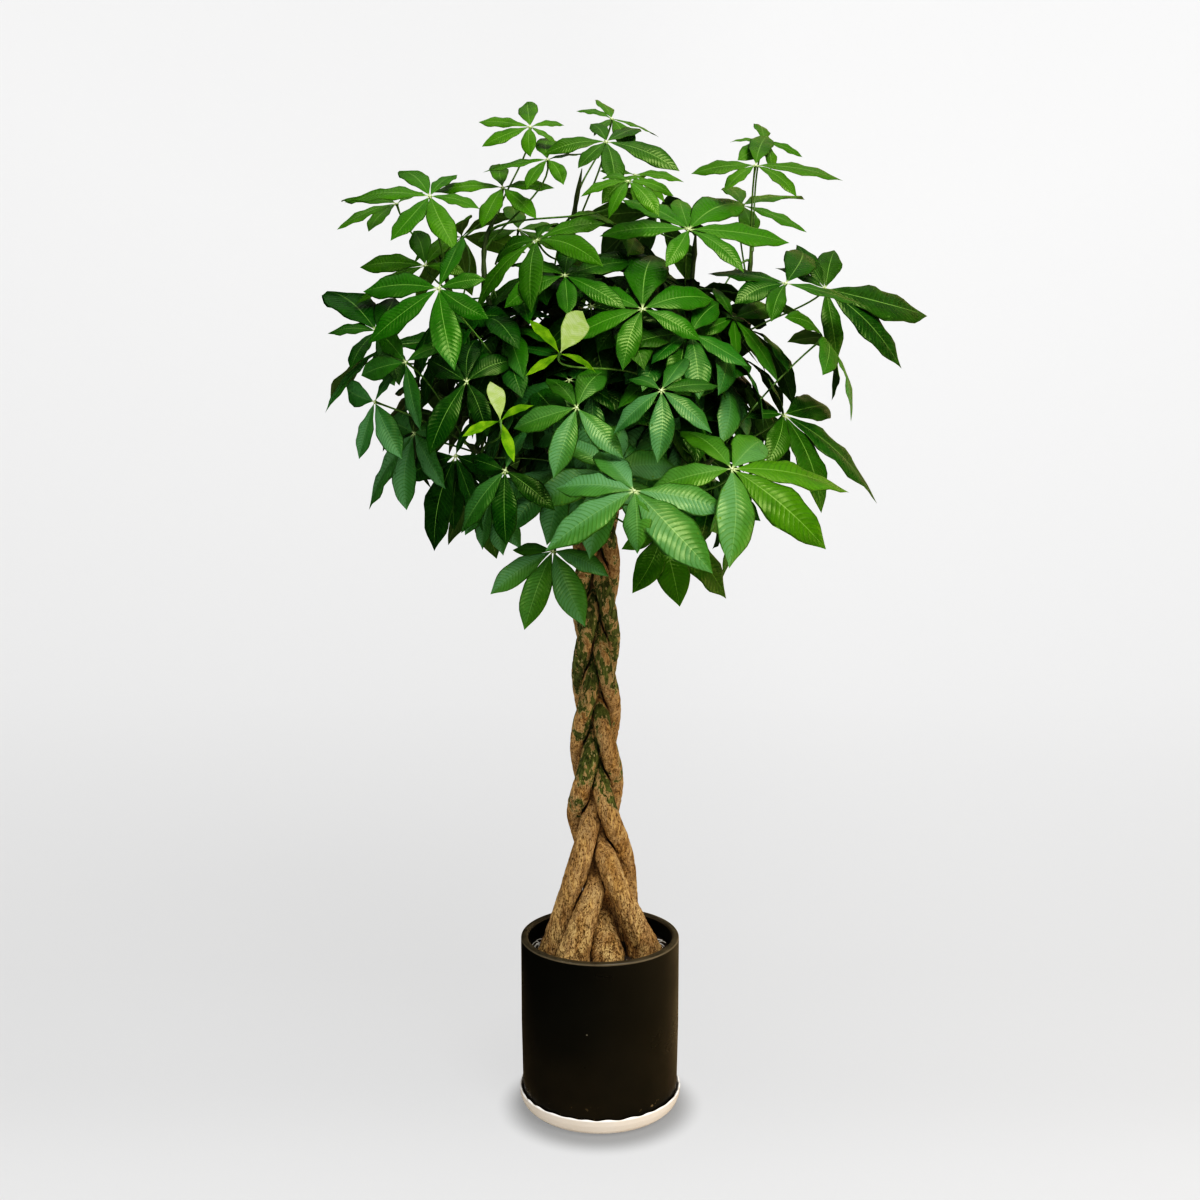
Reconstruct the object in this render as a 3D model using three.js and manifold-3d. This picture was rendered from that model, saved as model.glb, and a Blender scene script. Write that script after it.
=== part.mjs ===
// Potted money tree: five plaited trunks in a black pot on a cream saucer,
// with leaves of five to seven leaflets on leafy shoots round the top of the plait.
// Millimetres, +Z up, the front towards -Y. The origin is the middle of the
// saucer's flat underside.

import * as THREE from "three";
import { mergeVertices } from "three/addons/utils/BufferGeometryUtils.js";
import Module from "manifold-3d";

const wasm = await Module();
wasm.setup();

// Driving dimensions
const potRadius = 140;
const potRimZ = 311;
const potWall = 13;
const saucerHeight = 35;
const soilBelowRim = 28;
const braidTopZ = 1150;
const clearance = 0.35;
const bladeThickness = 0.8;

// Pot and saucer sizes worked out from them
const roundSides = 32;
const saucerFloor = 6;
const saucerRimRadius = potRadius + 4.5;
const saucerFootRadius = potRadius - 22;
const potFootRadius = potRadius - 24;
const potFloor = 14;
const drainRadius = 11;
const innerRadius = potRadius - potWall;
const soilZ = potRimZ - soilBelowRim;
const soilDome = 5;

// The five-strand plait: each strand swings across once and in depth twice per pitch.
// It swells downwards, and its middle lies a little to the left above the legs.
const braid = { sweep: 27, depth: 30, pitch: 615, firstEdgeZ: 472, sharpness: 0.08 };
const braidSwell = { share: 0.29, belowZ: 850, span: 350 };
const braidLean = { x: -7, fromZ: 440, toZ: 550 };
const strandSides = 7;
const strandStep = 18;
const strandGap = 3;
const strandRadiusHigh = 14.6;
const legRadius = 20.5;
const legBow = 0.7;
const footFlare = 9;
const footFlareHeight = 40;
const rootDepth = 70;

// Where each strand stands on the soil, how high its leg joins the plait and how high its
// pruned top is, in the order in which they pass the plait's right-hand edge on the way up
const strands = [
  { foot: [46, 58], legTop: 500, top: braidTopZ - 12 },
  { foot: [-50, -62], legTop: 430, top: braidTopZ },
  { foot: [-77, -6], legTop: 560, top: braidTopZ - 18 },
  { foot: [11, -46], legTop: 420, top: braidTopZ - 25 },
  { foot: [81, -26], legTop: 470, top: braidTopZ - 5 },
];

// Leafy shoots, each from the height in the plait where it springs and on along its way
const stemSides = 5;
const stemRings = 6;
const stemFootRadius = 6;
const stemTipRadius = 3.4;
const shoots = [
  { name: "shoot_left_tall", from: 1120,
    way: [[-95, -20, 1260], [-180, -20, 1395], [-190, -20, 1505], [-165, -20, 1560]] },
  { name: "shoot_middle_tall", from: 1125,
    way: [[-8, 28, 1270], [-45, 15, 1420], [-45, 15, 1540], [-30, 10, 1630]] },
  { name: "shoot_right_tall", from: 1120, way: [[80, -5, 1260], [145, -5, 1400], [160, 0, 1530]] },
  { name: "shoot_left_high", from: 1095,
    way: [[-130, 40, 1230], [-230, 35, 1370], [-270, 15, 1490]] },
  { name: "shoot_right_high", from: 1090,
    way: [[140, 45, 1220], [235, 55, 1360], [260, 45, 1510]] },
  { name: "shoot_front", from: 1095, way: [[40, -110, 1170], [65, -180, 1290]] },
  { name: "shoot_front_left", from: 1080, way: [[-80, -100, 1165], [-150, -150, 1290]] },
  { name: "shoot_front_low", from: 1045, way: [[0, -110, 1065], [20, -210, 1080]] },
  { name: "shoot_right_low", from: 1060, way: [[110, -60, 1105], [190, -130, 1160]] },
  { name: "shoot_left_low", from: 1055, way: [[-110, -40, 1110], [-225, -70, 1180]] },
  { name: "shoot_back", from: 1085, way: [[25, 120, 1210], [30, 180, 1350]] },
  { name: "shoot_back_left", from: 1070, way: [[-95, 110, 1160], [-170, 190, 1270]] },
  { name: "shoot_back_right", from: 1065, way: [[100, 110, 1150], [190, 180, 1260]] },
  { name: "shoot_back_low", from: 1040, way: [[0, 120, 1075], [-10, 230, 1110]] },
];

// Leaf sizes
const hubRadius = 5;
const hubHalf = 1.5;
const petioleRadius = 1.9;
const petioleSides = 3;
const petioleSpans = 3;
const leafletWidth = 0.3;
const shortestLeaflet = 62;
const longestLeaflet = 215;
const leafletGap = 41;
const mostSpread = 350;
const shortShare = 0.68;
const spineReach = 0.45;
const spineLift = 0.03;
const openSide = 100;
const halfSide = 36;
const petioleBend = 0.3;
const petioleRise = 0.25;
// Where a leaflet's width is read along it, and its share of the widest width there
const fineOutline = [[0.2, 0.46], [0.52, 1], [0.8, 0.68]];
const fineLeaves = 12;
const plainOutline = [[0.34, 0.84], [0.72, 0.84]];

// The place from where the tips in the table below were seen
const eye = new THREE.Vector3(0, -2400, 1224);
const shownDroop = { front: 14, other: 7, frontBefore: -225 };

// The leaves that show from the front. The hub is [x, y, z]; the face is the way the leaf
// looks, in degrees round from the front towards +X and degrees above level; each tip is
// how far right and up of the hub a leaflet ends, seen from the eye at the hub's depth.
const shownLeaves = [
  { hub: [195, -310, 1145], face: [10, 50],
    tips: [[-75, 60], [45, 45], [175, -35], [145, -110], [0, -140], [-120, -25]] },
  { hub: [50, -340, 1115], face: [-5, 45],
    tips: [[-50, 60], [-115, 5], [-130, -85], [5, -90], [135, -30], [115, -115]] },
  { hub: [90, -310, 1260], face: [-5, 35],
    tips: [[-70, -60], [-5, -105], [75, -60], [85, 10], [-45, 15], [35, 50]] },
  { hub: [-245, -220, 1415], face: [-20, 30],
    tips: [[20, -120], [-110, -80], [-115, -5], [35, 80], [70, 15], [75, -45]] },
  { hub: [-55, -160, 1440], face: [-5, 50],
    tips: [[15, 50], [105, 25], [95, -45], [5, -60], [-95, -45], [-90, 20]] },
  { hub: [140, -120, 1515], face: [10, 50],
    tips: [[-140, -5], [-100, 50], [-15, 50], [80, 50], [160, -20], [90, -60], [-35, -55]] },
  { hub: [-75, -170, 1010], face: [-15, 35],
    tips: [[-100, -70], [-30, -130], [45, -120], [80, -50], [-65, 0]] },
  { hub: [65, -230, 1385], face: [0, 40],
    tips: [[20, 90], [110, 20], [90, -45], [-30, -90], [-115, -45], [-90, 30]] },
  { hub: [-205, -240, 1275], face: [-10, 35],
    tips: [[15, 70], [75, 35], [30, -80], [-60, -110], [-60, 35]] },
  { hub: [295, -120, 1225], face: [35, 40],
    tips: [[165, -145], [70, -150], [-60, -5], [-15, -80], [75, 20]] },
  { hub: [-115, 0, 1695], face: [0, 50],
    tips: [[-85, 10], [-80, -30], [-5, 40], [50, 5], [45, -25], [0, -45]] },
  { hub: [20, 60, 1720], face: [15, 55],
    tips: [[-60, 15], [-20, 30], [-30, -25], [80, -30], [35, -50]] },
  { hub: [-85, -60, 1635], face: [-10, 55],
    tips: [[-105, -20], [-35, -45], [25, -35], [70, 10], [5, 35]] },
  { hub: [10, -20, 1665], face: [10, 50],
    tips: [[-100, -15], [-45, -40], [15, -70], [120, -45], [55, 25], [-25, 30]] },
  { hub: [60, 100, 1635], face: [10, 45],
    tips: [[85, -10], [50, -45], [0, -60], [-50, -50], [-55, 5]] },
  { hub: [-275, -60, 1575], face: [-5, 50],
    tips: [[-50, 45], [-140, 0], [-65, -70], [40, -80], [80, -20], [45, 35]] },
  { hub: [-350, 90, 1585], face: [-20, 60],
    tips: [[-105, -40], [-50, -45], [-85, 10], [45, 20]] },
  { hub: [-160, -20, 1595], face: [0, 50],
    tips: [[-5, 40], [-115, -5], [-35, -65], [55, -50], [85, 0]] },
  { hub: [-140, 80, 1540], face: [20, 55],
    tips: [[-70, -20], [-10, 40], [100, -5], [30, -40], [80, -40]] },
  { hub: [255, -20, 1630], face: [5, 50],
    tips: [[-105, -10], [-50, -40], [70, -45], [145, -20], [20, 50]] },
  { hub: [280, 60, 1685], face: [25, 50],
    tips: [[-50, 0], [-5, 30], [65, -25], [-45, -30], [10, -45]] },
  { hub: [250, 60, 1590], face: [15, 60],
    tips: [[-85, -25], [20, -50], [115, -45], [110, 10], [-30, 35]] },
  { hub: [-290, -40, 1470], face: [-15, 40],
    tips: [[-20, 60], [-110, 0], [-120, -65], [45, 45], [65, -10]] },
  { hub: [-365, -80, 1360], face: [-10, 50],
    tips: [[-105, 65], [-45, -60], [-75, 5], [30, 55], [35, -85]] },
  { hub: [300, -80, 1435], face: [15, 50],
    tips: [[-125, 20], [-25, -60], [140, -35], [30, 60], [-80, -30]] },
  { hub: [380, 20, 1435], face: [20, 30],
    tips: [[-85, 35], [-40, 75], [205, -45], [125, -140], [35, -115], [5, 70]] },
  { hub: [215, -160, 1380], face: [35, 35],
    tips: [[75, -100], [10, -65], [-60, -25], [-30, 50], [65, 25]] },
  { hub: [140, -200, 1350], face: [10, 40],
    tips: [[90, -50], [15, -100], [-60, -45], [-45, 40], [45, 50]] },
  { hub: [95, -230, 1045], face: [25, 35],
    tips: [[-35, -95], [30, -115], [105, -100], [70, -15], [-60, -25]] },
  { hub: [-35, -260, 1235], face: [-5, 35],
    tips: [[-35, -105], [70, -75], [-95, -30], [45, 60], [-45, 45]] },
  { hub: [-300, -200, 1305], face: [-30, 20],
    tips: [[20, -105], [-70, -20], [-45, 50], [60, 25]] },
  { hub: [-360, -130, 1245], face: [-40, 15],
    tips: [[-30, -90], [40, -90], [-50, 25], [35, 55]] },
  { hub: [-305, -60, 1195], face: [-50, 20],
    tips: [[-80, -125], [-20, -125], [45, -90], [-50, 20], [50, 5]] },
  { hub: [-230, -150, 1160], face: [-35, 10],
    tips: [[-30, -155], [35, -125], [-80, -35], [25, 55], [75, -25]] },
  { hub: [-145, -240, 1140], face: [-20, 25],
    tips: [[-70, -95], [0, -115], [75, -60], [-55, 20], [30, 65]] },
  { hub: [-60, -265, 1315], face: [160, 40],
    tips: [[35, 65], [-45, 50], [55, -25], [-50, -30]] },
  { hub: [-150, -265, 1215], face: [190, 35],
    tips: [[-15, 60], [50, 25], [20, -60], [-55, -20]] },
];

// The leaves that fill the inside, the sides and the back, by a rule
const fillCount = 25;
const fillLowZ = 1080;
const fillHighZ = 1590;
const fillLeafletLength = 150;
const goldenTurn = Math.PI * (3 - Math.sqrt(5));

// The search for a clear place: how often and how far a leaf is moved, what it keeps
// clear by, and where along a stem its stalk may stand
const placeTries = 90;
const firmTries = 12;
const depthStep = 14;
const hubPlay = 35;
const azimuthPlay = 20;
const elevationPlay = 12;
const bladeMargin = 2.6;
const edgeMargin = 1.5;
const rodMargin = 2.5;
const braidKeepOut = 56;
const usualPetiole = 165;
const feetTried = 4;
const crowding = 12;
const footShares = [0.36, 0.48, 0.58, 0.68, 0.77, 0.85, 0.92, 0.98];

// The crown that the filling leaves keep to
const crownMiddleZ = 1290;
const crownHalfHeight = 350;
const crownWidest = 370;

const colours = {
  pot: { color: 0x14120f, roughness: 0.45, metalness: 0 },
  saucer: { color: 0xe9dfd0, roughness: 0.3, metalness: 0 },
  soil: { color: 0x3b2c20, roughness: 1, metalness: 0 },
  trunk: { color: 0x7a5f3c, roughness: 0.85, metalness: 0 },
  leaf: { color: 0x2f7a2c, roughness: 0.45, metalness: 0 },
};

const tree = new THREE.Group();

// Closed meshes

function withoutSlivers(geometry) {
  geometry.deleteAttribute("normal");
  geometry.deleteAttribute("uv");
  const merged = mergeVertices(geometry, 1e-4);
  const index = merged.index.array;
  const kept = [];
  for (let i = 0; i < index.length; i += 3) {
    const [a, b, c] = index.slice(i, i + 3);
    if (a !== b && b !== c && c !== a) kept.push(a, b, c);
  }
  merged.setIndex(kept);
  return merged;
}

function geometryFrom(points, triangles) {
  const geometry = new THREE.BufferGeometry();
  geometry.setAttribute("position", new THREE.Float32BufferAttribute(points.flat(), 3));
  geometry.setIndex(triangles.flat());
  return geometry;
}

function solidFrom(geometry) {
  const vertProperties = new Float32Array(geometry.attributes.position.array);
  const triVerts = new Uint32Array(geometry.index.array);
  return new wasm.Manifold(new wasm.Mesh({ numProp: 3, vertProperties, triVerts }));
}

function geometryOf(solid) {
  const mesh = solid.getMesh();
  const geometry = new THREE.BufferGeometry();
  const positions = new THREE.BufferAttribute(new Float32Array(mesh.vertProperties), 3);
  geometry.setAttribute("position", positions);
  geometry.setIndex(new THREE.BufferAttribute(new Uint32Array(mesh.triVerts), 1));
  return geometry;
}

function largestPiece(solid) {
  return solid.decompose().reduce((best, piece) => (piece.volume() > best.volume() ? piece : best));
}

function addNode(name, geometry, look) {
  const mesh = new THREE.Mesh(geometry, new THREE.MeshStandardMaterial(look));
  mesh.name = name;
  tree.add(mesh);
}

// Rings of equal point counts joined into one closed skin. Each ring is listed
// anticlockwise seen from the far end, and the rings run from the near end to it.
function loft(rings) {
  const sides = rings[0].length;
  const triangles = [];
  for (let r = 0; r + 1 < rings.length; r++) {
    for (let i = 0; i < sides; i++) {
      const a = r * sides + i;
      const b = r * sides + ((i + 1) % sides);
      triangles.push([a, b, b + sides], [a, b + sides, a + sides]);
    }
  }
  const last = (rings.length - 1) * sides;
  for (let i = 1; i + 1 < sides; i++) {
    triangles.push([0, i + 1, i], [last, last + i, last + i + 1]);
  }
  return geometryFrom(rings.flat(), triangles);
}

// Pot, saucer and soil

function lathe(profile) {
  const points = profile.map(([radius, z]) => new THREE.Vector2(radius, z));
  const geometry = new THREE.LatheGeometry(points, roundSides);
  geometry.rotateX(Math.PI / 2);
  return withoutSlivers(geometry);
}

function potGeometry() {
  const foot = saucerFloor;
  return lathe([
    [drainRadius, foot],
    [potFootRadius, foot],
    [potRadius - 14, foot + 3],
    [potRadius - 6, foot + 11],
    [potRadius - 2.2, foot + 26],
    [potRadius, potRimZ / 2],
    [potRadius, potRimZ - 4],
    [potRadius - 3, potRimZ],
    [innerRadius + 3, potRimZ],
    [innerRadius, potRimZ - 4],
    [innerRadius - 1, foot + potFloor + 16],
    [innerRadius - 12, foot + potFloor],
    [drainRadius, foot + potFloor],
    [drainRadius, foot],
  ]);
}

function saucerGeometry() {
  const rim = saucerRimRadius;
  return lathe([
    [0, 0],
    [saucerFootRadius, 0],
    [rim - 13.5, 3.5],
    [rim - 5.5, 11],
    [rim - 1.3, 22],
    [rim, saucerHeight - 1.5],
    [rim - 2, saucerHeight],
    [rim - 4.1, saucerHeight - 1.5],
    [rim - 5.5, 26],
    [rim - 7.7, 18],
    [rim - 13.5, 10],
    [potFootRadius + 5, saucerFloor],
    [0, saucerFloor],
  ]);
}

function soilBody() {
  const edge = innerRadius - clearance;
  const floor = saucerFloor + potFloor;
  const block = solidFrom(lathe([
    [0, floor],
    [edge - 12, floor],
    [edge - 1, floor + 16],
    [edge, soilZ - 3],
    [edge * 0.72, soilZ],
    [0, soilZ + soilDome],
  ]));
  return strands.reduce((soil, _, k) => soil.subtract(solidFrom(strandGeometry(k, clearance))), block);
}

// The plaited trunks

function plaitSize(z) {
  return 1 + braidSwell.share * (Math.max(0, braidSwell.belowZ - z) / braidSwell.span) ** 2;
}

function plaitPoint(k, z) {
  const edgeZ = braid.firstEdgeZ + (k * braid.pitch) / strands.length;
  const phase = (2 * Math.PI * (z - edgeZ)) / braid.pitch;
  const swing = (1 - braid.sharpness) * Math.cos(phase) + braid.sharpness * Math.cos(3 * phase);
  const middle = braidLean.x * THREE.MathUtils.smoothstep(z, braidLean.fromZ, braidLean.toZ);
  const size = plaitSize(z);
  return [middle + braid.sweep * size * swing, -braid.depth * size * Math.sin(2 * phase)];
}

// A smooth way from one value to another as t goes from 0 to 1, with a slope at each end
function eased(start, startSlope, end, endSlope, t) {
  const rest = 1 - t;
  const ends = start * rest ** 2 * (1 + 2 * t) + end * t ** 2 * (3 - 2 * t);
  return ends + startSlope * t * rest ** 2 - endSlope * t ** 2 * rest;
}

// A strand follows the plait down to the top of its leg, which leans out to its foot
function strandCentre(k, height) {
  const { foot, legTop } = strands[k];
  if (height >= legTop) return plaitPoint(k, height);
  const legHeight = legTop - soilZ;
  const t = Math.max(0, height - soilZ) / legHeight;
  const joint = plaitPoint(k, legTop);
  const above = plaitPoint(k, legTop + 1);
  return foot.map((start, axis) => {
    const end = joint[axis];
    return eased(start, legBow * (end - start), end, (above[axis] - end) * legHeight, t);
  });
}

function strandRadius(height) {
  const flare = footFlare * Math.exp(-Math.max(0, height - soilZ) / footFlareHeight);
  return Math.min(legRadius, strandRadiusHigh * plaitSize(height)) + flare;
}

// How far the bark reaches at one height and bearing before it meets a neighbour.
// The neighbours are also read half a step up and down, where they have moved on.
function strandReach(k, z, bearing) {
  let reach = strandRadius(z);
  for (const level of [z - strandStep / 2, z, z + strandStep / 2]) {
    const [x, y] = strandCentre(k, level);
    for (let j = 0; j < strands.length; j++) {
      if (j === k) continue;
      const [otherX, otherY] = strandCentre(j, level);
      const distance = Math.hypot(otherX - x, otherY - y);
      const towards = Math.cos(bearing - Math.atan2(otherY - y, otherX - x));
      if (towards > 0.05) reach = Math.min(reach, (distance - strandGap) / 2 / towards);
    }
  }
  return reach;
}

function strandRing(k, z, centreZ, share, extra) {
  const [x, y] = strandCentre(k, centreZ);
  const ring = [];
  for (let i = 0; i < strandSides; i++) {
    const bearing = (2 * Math.PI * i) / strandSides;
    const reach = strandReach(k, centreZ, bearing) * share + extra;
    ring.push([x + reach * Math.cos(bearing), y + reach * Math.sin(bearing), z]);
  }
  return ring;
}

function strandGeometry(k, extra) {
  const bottom = soilZ - rootDepth;
  const top = strands[k].top;
  const rings = [strandRing(k, bottom - extra, bottom, 1, extra)];
  const count = Math.round((top - soilZ) / strandStep);
  for (let i = 0; i <= count; i++) {
    const z = soilZ + ((top - soilZ) * i) / count;
    rings.push(strandRing(k, z, z, 1, extra));
  }
  rings.push(strandRing(k, top + 7 + extra, top + 7, 0.6, extra));
  return loft(rings);
}

// Stems

function stemCurve(shoot) {
  const [x, y] = shoot.way[0];
  const centres = strands.map((_, k) => strandCentre(k, shoot.from));
  const outermost = centres.reduce((best, c) => (c[0] * x + c[1] * y > best[0] * x + best[1] * y ? c : best));
  const stops = [[...outermost, shoot.from], ...shoot.way];
  return new THREE.CatmullRomCurve3(stops.map((stop) => new THREE.Vector3(...stop)));
}

// Points round a path, with the ring's axes carried along it without twisting
function ringsAlong(path, radii, sides, axisX, axisY) {
  const rings = [];
  let heading = new THREE.Vector3().crossVectors(axisX, axisY);
  const across = axisX.clone();
  const over = axisY.clone();
  path.forEach((centre, i) => {
    const ahead = path[Math.min(i + 1, path.length - 1)];
    const behind = path[Math.max(i - 1, 0)];
    const next = new THREE.Vector3().subVectors(ahead, behind).normalize();
    const turn = new THREE.Quaternion().setFromUnitVectors(heading, next);
    across.applyQuaternion(turn);
    over.applyQuaternion(turn);
    heading = next;
    const ring = [];
    for (let s = 0; s < sides; s++) {
      const angle = (2 * Math.PI * s) / sides;
      const point = centre.clone().addScaledVector(across, radii[i] * Math.cos(angle));
      ring.push(point.addScaledVector(over, radii[i] * Math.sin(angle)).toArray());
    }
    rings.push(ring);
  });
  return rings;
}

function stemOf(shoot) {
  const path = stemCurve(shoot).getSpacedPoints(stemRings);
  const radii = path.map((_, i) => stemFootRadius + ((stemTipRadius - stemFootRadius) * i) / stemRings);
  const across = new THREE.Vector3(1, 0, 0);
  const over = new THREE.Vector3(0, 1, 0);
  return { path, radii, geometry: loft(ringsAlong(path, radii, stemSides, across, over)) };
}

// Leaves

function faceVector([azimuth, elevation]) {
  const a = THREE.MathUtils.degToRad(azimuth);
  const e = THREE.MathUtils.degToRad(elevation);
  return new THREE.Vector3(Math.sin(a) * Math.cos(e), -Math.cos(a) * Math.cos(e), Math.sin(e));
}

// A leaf's own axes: right and up in its plane, and the way it faces
function leafAxes(face) {
  const normal = faceVector(face);
  const right = new THREE.Vector3(-normal.y, normal.x, 0).normalize();
  const up = new THREE.Vector3().crossVectors(normal, right);
  return { normal, right, up };
}

// Bearings and lengths of leaflets that let their drooping tips show where the table has
// them. The level of a tip below the leaf's plane grows with its length, so both are
// found together in a few rounds.
function bearingsFromTips(tips, hub, axes, droop) {
  return tips.map(([dx, dz]) => {
    const ray = hub.clone().add(new THREE.Vector3(dx, 0, dz)).sub(eye);
    let length = Math.hypot(dx, dz);
    let out = null;
    for (let round = 0; round < 8; round++) {
      const middle = hub.clone().addScaledVector(axes.normal, -length * Math.sin(droop));
      const reach = middle.clone().sub(eye).dot(axes.normal) / ray.dot(axes.normal);
      out = eye.clone().addScaledVector(ray, reach).sub(middle);
      length = THREE.MathUtils.clamp(out.length() / Math.cos(droop), shortestLeaflet, longestLeaflet);
    }
    return { bearing: Math.atan2(out.dot(axes.up), out.dot(axes.right)), length };
  });
}

// Leaflets spread evenly round the hub, the longest hanging down and the rest shorter by turns
function evenBearings(count, length, turn) {
  return Array.from({ length: count }, (_, i) => {
    const share = (i + 0.5 - count / 2) / count;
    const bearing = -Math.PI / 2 + turn + share * THREE.MathUtils.degToRad(mostSpread);
    const outward = Math.cos(share * Math.PI);
    return { bearing, length: length * (shortShare + (1 - shortShare) * outward) };
  });
}

function spreadApart(leaflets) {
  const gap = THREE.MathUtils.degToRad(Math.min(leafletGap, mostSpread / leaflets.length));
  const full = 2 * Math.PI;
  const sorted = leaflets.map((l) => ({ ...l })).sort((a, b) => a.bearing - b.bearing);
  for (let round = 0; round < 60; round++) {
    sorted.forEach((leaflet, i) => {
      const next = sorted[(i + 1) % sorted.length];
      const wrap = i + 1 === sorted.length ? full : 0;
      const short = gap - (next.bearing + wrap - leaflet.bearing);
      if (short > 0) {
        leaflet.bearing -= short / 2;
        next.bearing += short / 2;
      }
    });
  }
  return sorted;
}

// One leaflet as flat sections along its drooping spine
function leafletSections({ bearing, length }, hub, axes, droop, outline) {
  const out = axes.right.clone().multiplyScalar(Math.cos(bearing));
  out.addScaledVector(axes.up, Math.sin(bearing));
  const root = hub.clone().addScaledVector(out, hubRadius);
  const bend = root.clone().addScaledVector(out, length * spineReach);
  bend.addScaledVector(axes.normal, length * spineLift);
  const tip = hub.clone().addScaledVector(out, length * Math.cos(droop));
  tip.addScaledVector(axes.normal, -length * Math.sin(droop));
  const spine = new THREE.QuadraticBezierCurve3(root, bend, tip);
  const sections = outline.map(([t, share]) => {
    const heading = spine.getTangent(t);
    const side = new THREE.Vector3().crossVectors(axes.normal, heading).normalize();
    const over = new THREE.Vector3().crossVectors(heading, side);
    return { centre: spine.getPoint(t), side, over, half: (share * leafletWidth * length) / 2 };
  });
  const last = sections[sections.length - 1];
  return { bearing, root, sections, tip, tipOver: last.over, rootSide: sections[0].side };
}

function petiolePath(hub, axes, foot) {
  const start = hub.clone().addScaledVector(axes.normal, -3 * hubHalf);
  const reach = start.distanceTo(foot);
  const below = start.clone().addScaledVector(axes.normal, -reach * petioleBend);
  const rise = new THREE.Vector3().subVectors(start, foot);
  rise.z = Math.max(rise.z, 0) + reach * petioleRise;
  const above = foot.clone().addScaledVector(rise.normalize(), reach * petioleBend);
  return new THREE.CubicBezierCurve3(start, below, above, foot).getPoints(petioleSpans);
}

function shapeLeaf(plan, hub, face, foot) {
  const axes = leafAxes(face);
  const droop = THREE.MathUtils.degToRad(plan.droop);
  const wanted = plan.tips
    ? bearingsFromTips(plan.tips, hub, axes, droop)
    : evenBearings(plan.count, plan.length, plan.turn);
  const leaflets = spreadApart(wanted).map((l) => leafletSections(l, hub, axes, droop, plan.outline));
  return { hub, axes, leaflets, petiole: petiolePath(hub, axes, foot) };
}

// The rim of the hub: one corner between near neighbours, two where the leaf is open
function hubCorners(leaflets) {
  const widest = THREE.MathUtils.degToRad(openSide);
  const half = THREE.MathUtils.degToRad(halfSide);
  const corners = [];
  leaflets.forEach((leaflet, i) => {
    const wrap = i + 1 === leaflets.length ? 2 * Math.PI : 0;
    const gap = leaflets[(i + 1) % leaflets.length].bearing + wrap - leaflet.bearing;
    leaflet.left = corners.length;
    if (gap < widest) {
      corners.push(leaflet.bearing + gap / 2);
    } else {
      corners.push(leaflet.bearing + half, leaflet.bearing + gap - half);
    }
    leaflets[(i + 1) % leaflets.length].right = corners.length - 1;
  });
  return corners;
}

function leafGeometry({ hub, axes, leaflets, petiole }) {
  const points = [];
  const faces = [];
  const add = (point) => points.push(point.toArray()) - 1;
  const quad = (a, b, c, d) => faces.push([a, b, c], [a, c, d]);
  const corners = hubCorners(leaflets);
  const rim = (height) => corners.map((bearing) => {
    const point = hub.clone().addScaledVector(axes.right, hubRadius * Math.cos(bearing));
    point.addScaledVector(axes.up, hubRadius * Math.sin(bearing));
    return add(point.addScaledVector(axes.normal, height));
  });
  const top = rim(hubHalf);
  const bottom = rim(-hubHalf);
  const count = corners.length;
  for (let i = 1; i + 1 < count; i++) faces.push([top[0], top[i], top[i + 1]]);
  const taken = new Set();
  for (const leaflet of leaflets) {
    const { left, right, sections, tip, tipOver } = leaflet;
    taken.add(right);
    let near = [top[left], top[right], bottom[right], bottom[left]];
    for (const { centre, side, over, half } of sections) {
      const corner = (across, height) =>
        add(centre.clone().addScaledVector(side, across).addScaledVector(over, height));
      const t = bladeThickness / 2;
      const far = [corner(half, t), corner(-half, t), corner(-half, -t), corner(half, -t)];
      quad(near[1], far[1], far[0], near[0]);
      faces.push([near[3], far[3], near[2]], [far[3], far[2], near[2]]);
      quad(near[0], far[0], far[3], near[3]);
      quad(near[1], near[2], far[2], far[1]);
      near = far;
    }
    const tipTop = add(tip.clone().addScaledVector(tipOver, bladeThickness / 2));
    const tipBottom = add(tip.clone().addScaledVector(tipOver, -bladeThickness / 2));
    faces.push([near[1], tipTop, near[0]], [near[3], tipBottom, near[2]]);
    quad(near[0], tipTop, tipBottom, near[3]);
    quad(near[1], near[2], tipBottom, tipTop);
  }
  for (let i = 0; i < count; i++) {
    const next = (i + 1) % count;
    if (!taken.has(i)) quad(bottom[i], bottom[next], top[next], top[i]);
  }
  closeWithPetiole(add, faces, bottom, corners, axes, petiole);
  return geometryFrom(points, faces);
}

// The stalk's tube, from the underside of the hub down to its closed end in the stem
function closeWithPetiole(add, faces, bottom, corners, axes, petiole) {
  const radii = petiole.map(() => petioleRadius);
  const rings = ringsAlong(petiole, radii, petioleSides, axes.up, axes.right);
  const loops = rings.map((ring) => ring.map((point) => add(new THREE.Vector3(...point))).reverse());
  const firstBearings = loops[0].map((_, i) => -Math.PI + (2 * Math.PI * i) / petioleSides);
  stitch(faces, bottom, corners, loops[0], firstBearings);
  for (let r = 0; r + 1 < loops.length; r++) {
    for (let i = 0; i < petioleSides; i++) {
      const next = (i + 1) % petioleSides;
      const [upper, lower] = [loops[r], loops[r + 1]];
      faces.push([lower[i], lower[next], upper[next]], [lower[i], upper[next], upper[i]]);
    }
  }
  const end = loops[loops.length - 1];
  for (let i = 1; i + 1 < petioleSides; i++) faces.push([end[0], end[i + 1], end[i]]);
}

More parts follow.
